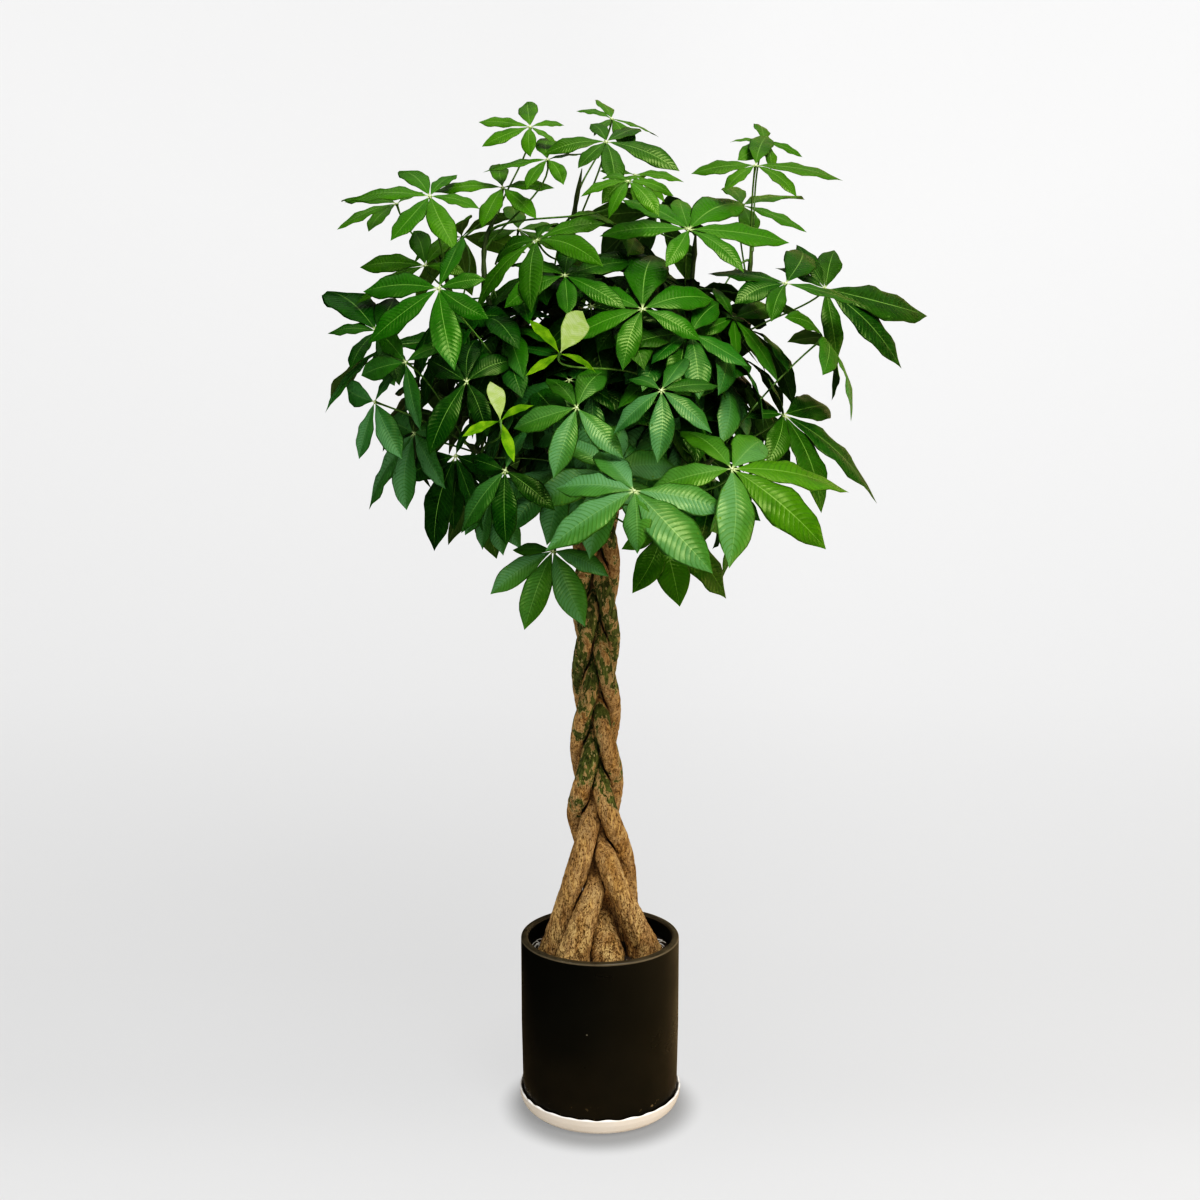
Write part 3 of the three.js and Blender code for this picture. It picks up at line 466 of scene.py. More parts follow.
def black_clay():
    """Warm black clay, browner towards the foot where a warm sheen is painted in patches, rubbed on the
    lip, with a painted highlight on the lip's rounded edge, and splashed with soil.
    """
    material, shader, place = new_material("black clay")
    height = parts_of(place)[2]
    cloud = grain(place, 9, 4)
    body = blend(cloud, (0.003, 0.003, 0.0015), (0.0086, 0.0083, 0.0036))
    # Painted sheen: a warm brown reflection painted into the colour of the lower sides, in patches.
    low = span(height, 0.02, 0.26, 0.9, 0.0)
    sheen_patches = patches_on(place, 6, 0.55, 0.2)
    body = blend(times(low, sheen_patches), body, (0.019, 0.0145, 0.0066))
    lip = span(height, (RIM_Z - 5.5) * MM, (RIM_Z - 2.0) * MM)
    rubbed = times(lip, span(grain(place, 45, 5), 0.25, 0.6, 0.35, 1.0))
    body = blend(rubbed, body, (0.055, 0.045, 0.027))
    # Painted highlight: a thin light band painted on the lip's rounded edge, standing in for a reflection
    # there.
    edge = times(span(height, (RIM_Z - 5) * MM, (RIM_Z - 3.5) * MM),
                 span(height, (RIM_Z - 2.5) * MM, (RIM_Z - 1) * MM, 1.0, 0.0))
    body = blend(times(edge, 0.55), body, (0.16, 0.13, 0.085))
    specks = specks_on(place, 45, 0.12, 0.07)
    body = blend(times(specks, 0.6), body, (0.2, 0.18, 0.14))
    splash = times(patches_on(place, 90, 0.14, 0.02), span(height, 0.032, 0.06, 1.0, 0.0))
    body = blend(splash, body, (0.22, 0.16, 0.08))
    roughness = span(cloud, 0.3, 0.7, 0.26, 0.42)
    set_look(shader, body, roughness, grain(place, 420, 3), 0.00025, 0.35, specular=0.2)
    return material


def cream_glaze():
    material, shader, place = new_material("cream glaze")
    height = parts_of(place)[2]
    cloud = grain(place, 14, 4)
    body = blend(cloud, (0.66, 0.57, 0.46), (0.74, 0.66, 0.56))
    # Painted highlight: the top of the rim is painted near white, as a light line along its edge.
    rim = span(height, (SAUCER_Z - 5) * MM, (SAUCER_Z - 2) * MM)
    body = blend(rim, body, (0.95, 0.92, 0.87))
    specks = specks_on(place, 160, 0.04, 0.16)
    body = blend(times(specks, 0.35), body, (0.38, 0.27, 0.17))
    foot = span(height, 0.0, 0.006, 0.35, 0.0)
    body = blend(foot, body, (0.45, 0.36, 0.27))
    roughness = span(cloud, 0.3, 0.7, 0.3, 0.42)
    set_look(shader, body, roughness, grain(place, 90, 3), 0.0005, 0.25)
    shader.inputs["Coat Weight"].default_value = 0.25
    shader.inputs["Coat Roughness"].default_value = 0.15
    return material


def potting_soil():
    material, shader, place = new_material("potting soil")
    coarse = grain(place, 110, 6, 0.7)
    body = blend(span(coarse, 0.3, 0.7), (0.008, 0.005, 0.003), (0.05, 0.032, 0.018))
    bits = specks_on(place, 230, 0.16, 0.3)
    body = blend(bits, body, (0.15, 0.1, 0.055))
    height = plus(coarse, times(bits, 0.3))
    set_look(shader, body, span(coarse, 0.2, 0.8, 0.82, 0.98), height, 0.003)
    return material


def soil_crumb():
    material, shader, place = new_material("soil crumb")
    tone = attribute(shader, "tone")
    rough = grain(place, 600, 4, 0.65)
    body = blend(tone, (0.012, 0.008, 0.005), (0.09, 0.055, 0.03))
    chips = span(tone, 0.86, 0.9)
    body = blend(chips, body, (0.2, 0.13, 0.07))
    perlite = span(tone, 0.965, 0.975)
    body = blend(perlite, body, (0.62, 0.6, 0.55))
    body = blend(times(rough, 0.6), body, (0.02, 0.013, 0.008))
    set_look(shader, body, span(rough, 0.2, 0.8, 0.8, 0.97), rough, 0.0006)
    return material


def dry_moss():
    material, shader, place = new_material("dry moss")
    tone = attribute(shader, "tone")
    fine = fibres_on(place, 700, 0.6)
    body = blend(tone, (0.6, 0.57, 0.5), (0.92, 0.91, 0.88))
    body = blend(times(fine, 0.4), body, (0.3, 0.27, 0.19))
    set_look(shader, body, span(fine, 0.0, 1.0, 0.78, 0.92), fine, 0.0004)
    return material


def bark():
    """Golden cork, lined with dark fibres, that flakes off olive bark higher up."""
    material, shader, place = new_material("bark")
    strand = attribute(shader, "strand")
    seed = times(strand, 5.3)
    height = parts_of(place)[2]
    tall = output("ShaderNodeMapping", {"Vector": place, "Scale": (1.0, 1.0, 0.5)})

    fibre = fibres_on(place, 230, 0.22, seed)
    broad = fibres_on(place, 62, 0.2, seed)
    flecks = span(fibres_on(place, 520, 0.4, seed), 0.64, 0.84, 0.0, 0.85)
    mottle = patches_on(tall, 150, 0.34, 0.04, seed)
    cloud = grain(tall, 22, 4, 0.6, 0.0, seed)

    cork = blend(fibre, (0.12, 0.055, 0.014), (0.6, 0.35, 0.12))
    cork = blend(times(broad, 0.5), cork, (0.72, 0.5, 0.26))
    cork = blend(span(cloud, 0.48, 0.7, 0.0, 0.5), cork, (0.25, 0.14, 0.055))
    cork = blend(times(mottle, 0.35), cork, (0.11, 0.055, 0.02))
    foot = span(height, 0.3, 0.46, 1.0, 0.0)
    pale = times(foot, span(grain(tall, 48, 6, 0.65, 0.2, seed), 0.45, 0.6))
    cork = blend(times(pale, 0.62), cork, (0.72, 0.5, 0.22))
    net = maths("ABSOLUTE", minus(grain(tall, 85, 5, 0.6, 0.6, seed), 0.5))
    cracks = times(span(net, 0.0, 0.03, 1.0, 0.0), span(foot, 0.0, 1.0, 0.25, 0.7))
    cork = blend(cracks, cork, (0.045, 0.02, 0.006))
    cork = blend(times(flecks, 0.9), cork, (0.022, 0.01, 0.003))

    green = blend(fibre, (0.035, 0.042, 0.009), (0.16, 0.185, 0.05))
    dots = specks_on(tall, 190, 0.35, 0.32)
    green = blend(times(dots, 0.85), green, (0.42, 0.33, 0.16))
    dark = span(height, 0.82, 1.05, 0.0, 0.3)
    green = blend(dark, green, (0.014, 0.012, 0.003))

    level = plus(height, times(maths("SINE", times(strand, 2.4)), 0.07))
    share = span(level, 0.4, 0.66, 0.99, 0.54, smooth=False)
    large = patches_on(tall, 17, share, 0.008, seed)
    small = patches_on(tall, 105, 0.38, 0.012, seed)
    cover = maths("MAXIMUM", large, times(small, 0.9))
    orange = blend(fibre, (0.17, 0.09, 0.03), (0.5, 0.32, 0.15))
    cork = blend(span(height, 0.68, 0.95, 0.0, 0.75), cork, orange)
    cork = blend(span(height, 0.85, 1.05, 0.0, 0.3), cork, (0.05, 0.03, 0.01))
    body = blend(cover, green, cork)
    rim = times(cover, minus(1.0, cover), 3.6)
    body = blend(rim, body, (0.56, 0.4, 0.19))

    # Painted shade: near black painted in the creases where one strand presses against another.
    body = blend(times(attribute(shader, "crease_shade"), 0.85), body, (0.008, 0.005, 0.002))

    relief = plus(times(fibre, 0.7), times(cover, 0.45))
    relief = minus(minus(relief, times(flecks, 0.6)), times(cracks, 0.6))
    set_look(shader, body, span(cover, 0.0, 1.0, 0.6, 0.85), relief, 0.0022, specular=0.12)
    return material


def leaf_green():
    """Glossy quilted green above, paler below, yellower on young leaves, with painted shade in the
    grooves and deep in the crown, and a painted sheen on the lower leaves.
    """
    material, shader, place = new_material("leaf green")
    names = ("across", "along", "tone", "youth", "under", "pale")
    across, along, tone, youth, under, pale = (attribute(shader, name) for name in names)
    veins = use_group(VEINS, {"Across": across, "Along": along, "Pairs": 21.0, "Slant": 0.12})
    from_middle = output("ShaderNodeMapping", {
        "Vector": place, "Location": (-0.03, 0.0, -4.6), "Scale": (2.9, 3.2, 3.55),
    })
    cloud = grain(place, 55, 4)
    blotch = grain(place, 17, 3)

    top = blend(tone, (0.0015, 0.02, 0.0015), (0.011, 0.094, 0.002))
    top = blend(youth, top, (0.068, 0.186, 0.001))
    top = blend(span(cloud, 0.35, 0.75, 0.0, 0.3), top, (0.026, 0.125, 0.004))
    top = blend(span(blotch, 0.5, 0.75, 0.0, 0.45), top, (0.002, 0.03, 0.002))
    # Painted shade: the grooves between the raised quilts are painted darker.
    groove_shade = span(veins["Quilt"], 0.1, 0.7, 0.42, 0.0)
    top = blend(groove_shade, top, (0.001, 0.016, 0.001))
    ribs = times(veins["Veins"], 0.4)
    top = blend(ribs, top, (0.075, 0.2, 0.02))
    top = blend(times(veins["Midrib"], 0.7), top, (0.22, 0.38, 0.09))
    # Painted sheen: a pale bluish reflection painted on the quilt ridges of the lower leaves, stronger on
    # one half of each leaflet as if the light fell on it.
    ridge_sheen = span(veins["Quilt"], 0.2, 0.8, 0.45, 1.0)
    ridge_sheen = times(ridge_sheen, span(across, -0.5, 0.3, 0.35, 1.0))
    low = times(span(parts_of(place)[2], 1.36, 1.16, 0.0, 0.9), span(tone, 0.3, 0.85))
    top = blend(times(low, ridge_sheen), top, (0.11, 0.25, 0.11))
    # Painted shade: leaves deep inside the crown are painted near black, as the crown's own shadow.
    inner = span(vector_maths("LENGTH", from_middle), 0.55, 1.05, 0.92, 0.0)
    top = blend(inner, top, (0.001, 0.01, 0.001))
    top = blend(span(along, 0.0, 0.07, 1.0, 0.0), top, (0.55, 0.64, 0.3))

    below = blend(youth, (0.024, 0.075, 0.01), (0.11, 0.22, 0.02))
    below = blend(ribs, below, (0.1, 0.2, 0.045))
    below = blend(veins["Midrib"], below, (0.24, 0.36, 0.11))
    body = blend(under, top, below)
    vivid = blend(span(cloud, 0.35, 0.65), (0.13, 0.34, 0.004), (0.3, 0.56, 0.02))
    fading = blend(span(cloud, 0.35, 0.65), (0.56, 0.76, 0.2), (0.72, 0.86, 0.4))
    fading = blend(span(veins["Quilt"], 0.1, 0.6, 0.4, 0.0), fading, vivid)
    growth = blend(span(pale, 0.5, 1.0), vivid, fading)
    body = blend(span(pale, 0.0, 0.4), body, growth)

    gloss = plus(times(under, 0.25), span(cloud, 0.2, 0.8, 0.24, 0.36))
    set_look(shader, body, gloss, veins["Quilt"], 0.0012, 0.27, specular=0.3)
    shader.inputs["Specular Tint"].default_value = (0.78, 1.0, 0.36, 1)
    return material


def green_stalk():
    """Leaf stalks of fresh green, and stems that turn brown towards the plait."""
    material, shader, place = new_material("green stalk")
    along = attribute(shader, "along")
    wood = attribute(shader, "wood")
    fibre = fibres_on(place, 260, 0.1)
    stalk = blend(fibre, (0.04, 0.11, 0.01), (0.1, 0.2, 0.025))
    stalk = blend(span(along, 0.94, 0.99), stalk, (0.6, 0.68, 0.36))
    stem = blend(fibre, (0.018, 0.042, 0.006), (0.065, 0.1, 0.018))
    cork = blend(fibre, (0.06, 0.036, 0.017), (0.21, 0.13, 0.062))
    ragged = patches_on(place, 45, 0.5, 0.05)
    age = plus(span(along, 0.1, 0.55, 0.75, 0.0), times(ragged, 0.3))
    stem = blend(span(age, 0.3, 0.6), stem, cork)
    body = blend(wood, stalk, stem)
    roughness = span(wood, 0.0, 1.0, 0.42, 0.68)
    set_look(shader, body, roughness, fibre, 0.0006, 0.6)
    return material


def studio_paper():
    """White paper that glows for the camera alone, with a painted contact shadow close to the saucer; to
    reflected rays it shows a painted colour, dark on the left and warm on the right.
    """
    material, shader, place = new_material("studio paper")
    x, y, z = parts_of(place)
    rays = add_node(shader.id_data, "ShaderNodeLightPath").outputs
    seen = rays["Is Camera Ray"]
    body = blend(seen, (0.88, 0.88, 0.88), (0.08, 0.08, 0.08))
    # Painted reflection: to reflected rays the paper shows a colour by its side, near black on the left
    # and warm brown on the right.
    painted_reflection = blend(span(x, -1.0, 1.0), (0.006, 0.006, 0.004), (0.56, 0.42, 0.25))
    body = blend(rays["Is Glossy Ray"], body, painted_reflection)
    set_look(shader, body, span(grain(place, 0.6, 2), 0.0, 1.0, 0.9, 0.95), specular=0.05)
    # Painted contact shadow: the glow drops to under half close to the saucer, a little forward of it.
    ahead = plus(y, 0.014)
    away = maths("SQRT", plus(times(x, x), times(ahead, ahead)))
    back = plus(y, z)
    glow = span(back, 0.6, 3.5, 0.662, 0.765, smooth=False)
    glow = plus(glow, span(back, 3.5, 8.0, 0.0, 0.09, smooth=False))
    glow = plus(glow, span(back, 0.1, -0.35, 0.0, 0.06))
    glow = plus(glow, span(x, -0.4, 1.2, -0.008, 0.035))
    glow = times(glow, span(away, 0.131, 0.189, 0.41, 1.0))
    shader.inputs["Emission Color"].default_value = (1, 1, 1, 1)
    shader.id_data.links.new(times(seen, glow), shader.inputs["Emission Strength"])
    material.cycles.emission_sampling = "NONE"
    return material


# Camera, studio and light

def set_camera():
    camera = bpy.data.cameras.new("camera")
    camera.lens = 42.2
    camera.sensor_width = 36
    camera.clip_end = 60
    holder = new_piece("camera", camera)
    holder.location = (0, -2.4, 1.224)
    holder.rotation_euler = (math.radians(82.51), 0, 0)
    bpy.context.scene.camera = holder


def build_studio():
    """A pale floor that rises in one curve to a wall all round."""
    floor_radius, wall_radius, wall_height = 3500, 6000, 6500
    curve = wall_radius - floor_radius
    steps = 14
    profile = [(floor_radius * share, 0) for share in (0, 0.05, 0.15, 0.35, 0.7)]
    for step in range(steps + 1):
        angle = math.pi / 2 * step / steps
        profile.append((floor_radius + curve * math.sin(angle), curve * (1 - math.cos(angle))))
    profile.append((wall_radius, wall_height))
    points, faces = turned(profile, 96, closed=False)
    inwards = [face[::-1] for face in faces]
    new_piece("studio", smooth_mesh("studio", points, inwards, studio_paper()))


def add_softbox(name, place, aim, width, height, power, colour=(1, 1, 1)):
    lamp = bpy.data.lights.new(name, "AREA")
    lamp.shape = "RECTANGLE"
    lamp.size = width
    lamp.size_y = height
    lamp.energy = power
    lamp.color = colour
    holder = new_piece(name, lamp)
    holder.location = place
    holder.rotation_euler = (Vector(aim) - Vector(place)).to_track_quat("-Z", "Y").to_euler()


def light_studio():
    world = bpy.data.worlds.new("studio air")
    world.use_nodes = True
    background = world.node_tree.nodes["Background"]
    background.inputs["Color"].default_value = (1, 1, 1, 1)
    background.inputs["Strength"].default_value = 0.5
    bpy.context.scene.world = world
    add_softbox("key", (1.2, -2.3, 3.8), (0, 0, 1.1), 1.7, 1.4, 142)
    add_softbox("fill", (2.4, -0.6, 0.9), (0, 0, 0.5), 1.0, 1.6, 18, (1.0, 0.78, 0.55))
    add_softbox("side", (-1.9, -2.0, 3.0), (-0.1, 0, 1.2), 0.7, 0.7, 13)
    add_softbox("top", (0.5, -0.7, 5.0), (0, 0, 0.2), 1.8, 1.8, 26)


def set_tones():
    """Deep shadows as in the photo, with the lighter tones left as they are."""
    view = bpy.context.scene.view_settings
    view.view_transform = "Standard"
    view.use_curve_mapping = True
    curve = view.curve_mapping.curves[3]
    for place in ((0.02, 0.007), (0.06, 0.034), (0.15, 0.12), (0.35, 0.345)):
        curve.points.new(*place)
    view.curve_mapping.update()


# Pot and saucer

def build_pot():
    outline = [
        (11, POT_FOOT_Z), (POT_RADIUS - 24, POT_FOOT_Z), (POT_RADIUS - 14, 9), (POT_RADIUS - 6, 17),
        (POT_RADIUS - 2.2, 32), (POT_RADIUS, RIM_Z / 2), (POT_RADIUS, RIM_Z), (INNER_RADIUS + 1, RIM_Z),
        (INNER_RADIUS, RIM_Z - 6), (126, 36), (115, 20), (11, 20),
    ]
    points, faces = turned(rounded(outline, 5, 6), 160)
    piece = mesh_piece("pot_body", points, faces, black_clay())
    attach(piece, "root")
    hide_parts("pot")


def build_saucer():
    rim_waves = 27
    outline = [
        (0, 0), (118, 0), (131, 3.5), (139, 11), (143.2, 22), (SAUCER_RADIUS, SAUCER_Z - 1),
        (142.4, SAUCER_Z), (140.4, SAUCER_Z - 2), (139, 26), (136.8, 18), (131, 10),
        (121, POT_FOOT_Z - 0.4), (0, POT_FOOT_Z - 0.4),
    ]

    def wavy(radius, height, bearing):
        wander = 0.9 * math.sin(3 * bearing + 1) + 0.7 * math.sin(7 * bearing)
        wave = math.sin(rim_waves * bearing + wander) * (0.75 + 0.35 * math.sin(5 * bearing + 2))
        near_rim = smoothstep(18, SAUCER_Z, height)
        return radius - near_rim * 0.35 * (1 + wave), height - near_rim * 1.4 * (1 + wave)

    points, faces = turned(rounded(outline, 3, 4), 290, wavy)
    piece = mesh_piece("saucer_dish", points, faces, cream_glaze())
    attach(piece, "root")
    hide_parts("saucer")


# Geometry trees

def random_number(tree, seed, **limits):
    inputs = {"Seed": seed, **limits}
    return add_node(tree, "FunctionNodeRandomValue", inputs, data_type="FLOAT").outputs[1]


def circle(tree, points):
    inputs = {"Resolution": points, "Radius": 1.0}
    return add_node(tree, "GeometryNodeCurvePrimitiveCircle", inputs).outputs[0]


def stored(geometry, name, value):
    """The geometry with a value kept at its points."""
    inputs = {"Geometry": geometry, "Name": name, "Value": value}
    return output("GeometryNodeStoreNamedAttribute", inputs, data_type="FLOAT", domain="POINT")


def moved(geometry, **inputs):
    return output("GeometryNodeSetPosition", {"Geometry": geometry, **inputs})


def swept(curve, section, scale):
    """A closed mesh of a section swept along a curve."""
    inputs = {"Curve": curve, "Profile Curve": section, "Scale": scale, "Fill Caps": True}
    return output("GeometryNodeCurveToMesh", inputs)


def dressed(geometry, material):
    """The geometry with a material."""
    return output("GeometryNodeSetMaterial", {"Geometry": geometry, "Material": material})


def strewn(tree, given, mark, shape, size, tilt, seeds):
    """Copies of a shape strewn where the surface is marked. The seeds are of tones and turns."""
    density = times(named(tree, mark), given["Density"])
    points = output("GeometryNodeDistributePointsOnFaces", {
        "Mesh": given["Geometry"], "Density": density, "Seed": given["Seed"],
    })
    turn = add_node(tree, "FunctionNodeRandomValue", {
        "Min": (-tilt, -0.5, 0.0), "Max": (tilt, 0.5, 2 * math.pi), "Seed": seeds[1],
    }, data_type="FLOAT_VECTOR").outputs[0]
    placed = output("GeometryNodeInstanceOnPoints", {
        "Points": stored(points, "tone", random_number(tree, seeds[0])), "Instance": shape, "Scale": size,
        "Rotation": output("FunctionNodeEulerToRotation", {0: turn}),
    })
    return output("GeometryNodeRealizeInstances", {"Geometry": placed})


# Soil, crumbs and moss

def soil_height(x, y):
    radius = math.hypot(x, y)
    dome = SOIL_DOME * max(0, 1 - radius / DOME_RADIUS) ** 0.8
    edge = 3 * smoothstep(DOME_RADIUS, INNER_RADIUS, radius)
    lumps = 2.2 * noise.fractal(Vector((x / 16, y / 16, 1.7)), 0.7, 2.1, 4)
    return SOIL_Z + dome - edge + lumps * smoothstep(INNER_RADIUS, INNER_RADIUS - 8, radius)


def soil_mesh():
    """The uneven top of the soil and the plain sides and bottom, inside the pot."""
    rings, sides = 34, 128
    edge = INNER_RADIUS - 0.35
    profile = [(0, SOIL_Z)] + [(edge * (i / rings) ** 0.8, SOIL_Z) for i in range(1, rings + 1)]
    profile += [(126, 120), (125.65, 36), (114.65, 20), (0, 20)]
    points, faces = turned(profile, sides)
    for i in range(1 + rings * sides):
        x, y, _ = points[i]
        points[i] = (x, y, soil_height(x, y))
    return points, faces


def shred_area(x, y):
    """How thick the shreds of moss lie: mostly at the left edge, a few at the right."""
    left = math.exp(-(((x + 104) / 14) ** 2) - ((y + 2) / 38) ** 2)
    right = 0.6 * math.exp(-(((x - 108) / 10) ** 2) - ((y - 12) / 26) ** 2)
    return left + right


def build_soil():
    piece = mesh_piece("soil_surface", *soil_mesh(), potting_soil())
    foot_room = 26
    clear, shreds = [], []
    for vertex in piece.data.vertices:
        x, y, z = vertex.co / MM
        from_trunks = min(math.hypot(x - foot[0], y - foot[1]) for foot in TRUNK_FEET)
        shown = z > SOIL_Z - 8 and math.hypot(x, y) < INNER_RADIUS - 4
        clear.append(shown and from_trunks > foot_room)
        shreds.append(shred_area(x, y) if shown else 0)
    set_attribute(piece.data, "clear", clear)
    set_attribute(piece.data, "shreds", shreds)
    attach(piece, "root")
    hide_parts("soil")
    return piece


def crumbs_tree():
    """Small lumps scattered over the marked part of a surface."""
    tree, given, out = new_group("GeometryNodeTree", "scattered crumbs", {
        "Geometry": GEOMETRY,
        "Density": 40000.0,
        "Smallest": 0.0007,
        "Largest": 0.0034,
        "Seed": 3,
        "Material": MATERIAL,
    }, {"Geometry": GEOMETRY})
    share = maths("POWER", random_number(tree, given["Seed"]), 2.5)
    size = span(share, 0.0, 1.0, given["Smallest"], given["Largest"], smooth=False)
    flat = vector_of(size, times(size, 0.8), times(size, 0.62))
    lump = add_node(tree, "GeometryNodeMeshIcoSphere", {"Radius": 1.0, "Subdivisions": 1}).outputs[0]
    lumps = strewn(tree, given, "clear", lump, flat, 0.5, (5, 11))
    place = add_node(tree, "GeometryNodeInputPosition").outputs[0]
    rough = outputs("ShaderNodeTexNoise", {"Vector": place, "Scale": 330.0, "Detail": 2.0})["Color"]
    shift = scaled(vector_maths("SUBTRACT", rough, (0.5, 0.5, 0.5)), 0.0018)
    tree.links.new(dressed(moved(lumps, Offset=shift), given["Material"]), out["Geometry"])
    return tree


def shreds_tree():
    """Thin curled shreds lying about where the surface is marked for them."""
    tree, given, out = new_group("GeometryNodeTree", "curled shreds", {
        "Geometry": GEOMETRY,
        "Density": 26000.0,
        "Length": 0.022,
        "Thickness": 0.0011,
        "Seed": 4,
        "Material": MATERIAL,
    }, {"Geometry": GEOMETRY})
    curl = add_node(tree, "GeometryNodeCurveQuadraticBezier", {
        "Resolution": 6, "Start": (-0.5, 0.0, 0.0), "Middle": (0.0, 0.45, 0.3), "End": (0.5, -0.1, 0.05),
    }).outputs[0]
    length = times(random_number(tree, 8, Min=0.35, Max=1.0), given["Length"])
    curls = moved(strewn(tree, given, "shreds", curl, length, 0.7, (6, 12)), Offset=(0, 0, 0.0015))
    shreds = swept(curls, circle(tree, 4), given["Thickness"])
    tree.links.new(dressed(shreds, given["Material"]), out["Geometry"])
    return tree


def grown(name, source, tree, inputs):
    """A plain mesh piece of what a geometry tree makes of the source mesh."""
    host = new_piece(name + "_host", source)
    modifier = host.modifiers.new(name, "NODES")
    modifier.node_group = tree
    sockets = {item.name: item.identifier for item in tree.interface.items_tree if item.in_out == "INPUT"}
    for label, value in inputs.items():
        modifier[sockets[label]] = value
    bpy.context.view_layer.update()
    evaluated = host.evaluated_get(bpy.context.evaluated_depsgraph_get())
    mesh = bpy.data.meshes.new_from_object(evaluated)
    mesh.name = name
    host.modifiers.remove(modifier)
    bpy.data.objects.remove(host)
    return new_piece(name, mesh)


def scatter_on_soil(soil):
    crumbs = grown("soil_crumbs", soil.data, crumbs_tree(), {"Material": soil_crumb()})
    moss = grown("moss_shreds", soil.data, shreds_tree(), {"Material": dry_moss()})
    for piece in (crumbs, moss):
        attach(piece, "root")


# The plaited trunks

def plait_size(z):
    return 1 + SWELL * (np.maximum(0, SWELL_BELOW_Z - z) / SWELL_SPAN) ** 2


def plait_point(strand, z):
    """Where a strand of the plait passes a height. It swings to both edges and back."""
    edge = FIRST_EDGE_Z + strand * PITCH / len(TRUNKS)
    phase = 2 * np.pi * (z - edge) / PITCH
    swing = (1 - SHARPNESS) * np.cos(phase) + SHARPNESS * np.cos(3 * phase)
    middle = LEAN_X * smoothstep(LEAN_FROM_Z, LEAN_TO_Z, z)
    size = plait_size(z)
    return middle + SWEEP * size * swing, -DEPTH * size * np.sin(2 * phase)


def eased(start, start_slope, end, end_slope, t):
    """A smooth way from one value to another as t goes from 0 to 1, with a slope at each end."""
    rest = 1 - t
    ends = start * rest ** 2 * (1 + 2 * t) + end * t ** 2 * (3 - 2 * t)
    return ends + start_slope * t * rest ** 2 - end_slope * t ** 2 * rest


def strand_centre(strand, height):
    """A strand follows the plait down to the top of its leg, which leans out to its foot."""
    top = LEG_TOPS[strand]
    leg_height = top - SOIL_Z
    t = np.clip((height - SOIL_Z) / leg_height, 0, 1)
    place = []
    levels = (plait_point(strand, level) for level in (top, top + 1, height))
    for foot, end, beyond, plaited in zip(TRUNK_FEET[strand], *levels):
        leg = eased(foot, LEG_BOW * (end - foot), end, (beyond - end) * leg_height, t)
        place.append(np.where(height >= top, plaited, leg))
    return place


def strand_radius(height):
    flare = FOOT_FLARE * np.exp(-np.maximum(0, height - SOIL_Z) / FOOT_FLARE_HEIGHT)
    return np.minimum(LEG_RADIUS, RADIUS_HIGH * plait_size(height)) + flare


def room_for(strand, heights, bearings, gap):
    """How far a strand may reach at each height and bearing before it meets another."""
    sideways = 0.05
    room = np.full((len(heights), len(bearings)), 1e3)
    for shift in (-LEVEL_STEP / 3, 0, LEVEL_STEP / 3):
        x, y = strand_centre(strand, heights + shift)
        for other in range(len(TRUNKS)):
            if other == strand:
                continue
            other_x, other_y = strand_centre(other, heights + shift)
            distance = np.hypot(other_x - x, other_y - y)
            way = np.arctan2(other_y - y, other_x - x)
            towards = np.cos(bearings[None, :] - way[:, None])
            limit = (distance[:, None] - gap) / 2 / np.maximum(towards, sideways)
            room = np.where(towards > sideways, np.minimum(room, limit), room)
    return room


def bark_relief(strand, x, y, z):
    """How far the bark stands out: knots and folds, and rough lumps at the foot."""
    foot = math.exp(-max(0, z - SOIL_Z) / 55)
    near = Vector((x / 13, y / 13, z / 34 + 9 * strand))
    fine = Vector((x / 5, y / 5, z / 17 + 5 * strand))
    lumps = noise.fractal(near, 0.9, 2.0, 3) * (1.0 + 2.6 * foot)
    folds = noise.fractal(fine, 0.8, 2.2, 3) * (0.45 + 0.9 * foot)
    ring = math.sin(z / 9.5 + 2.5 * noise.noise(Vector((strand * 7.3, 0, z / 70))))
    scars = -0.5 * smoothstep(0.9, 1.0, ring) * (1 - foot)
    return lumps + folds + scars


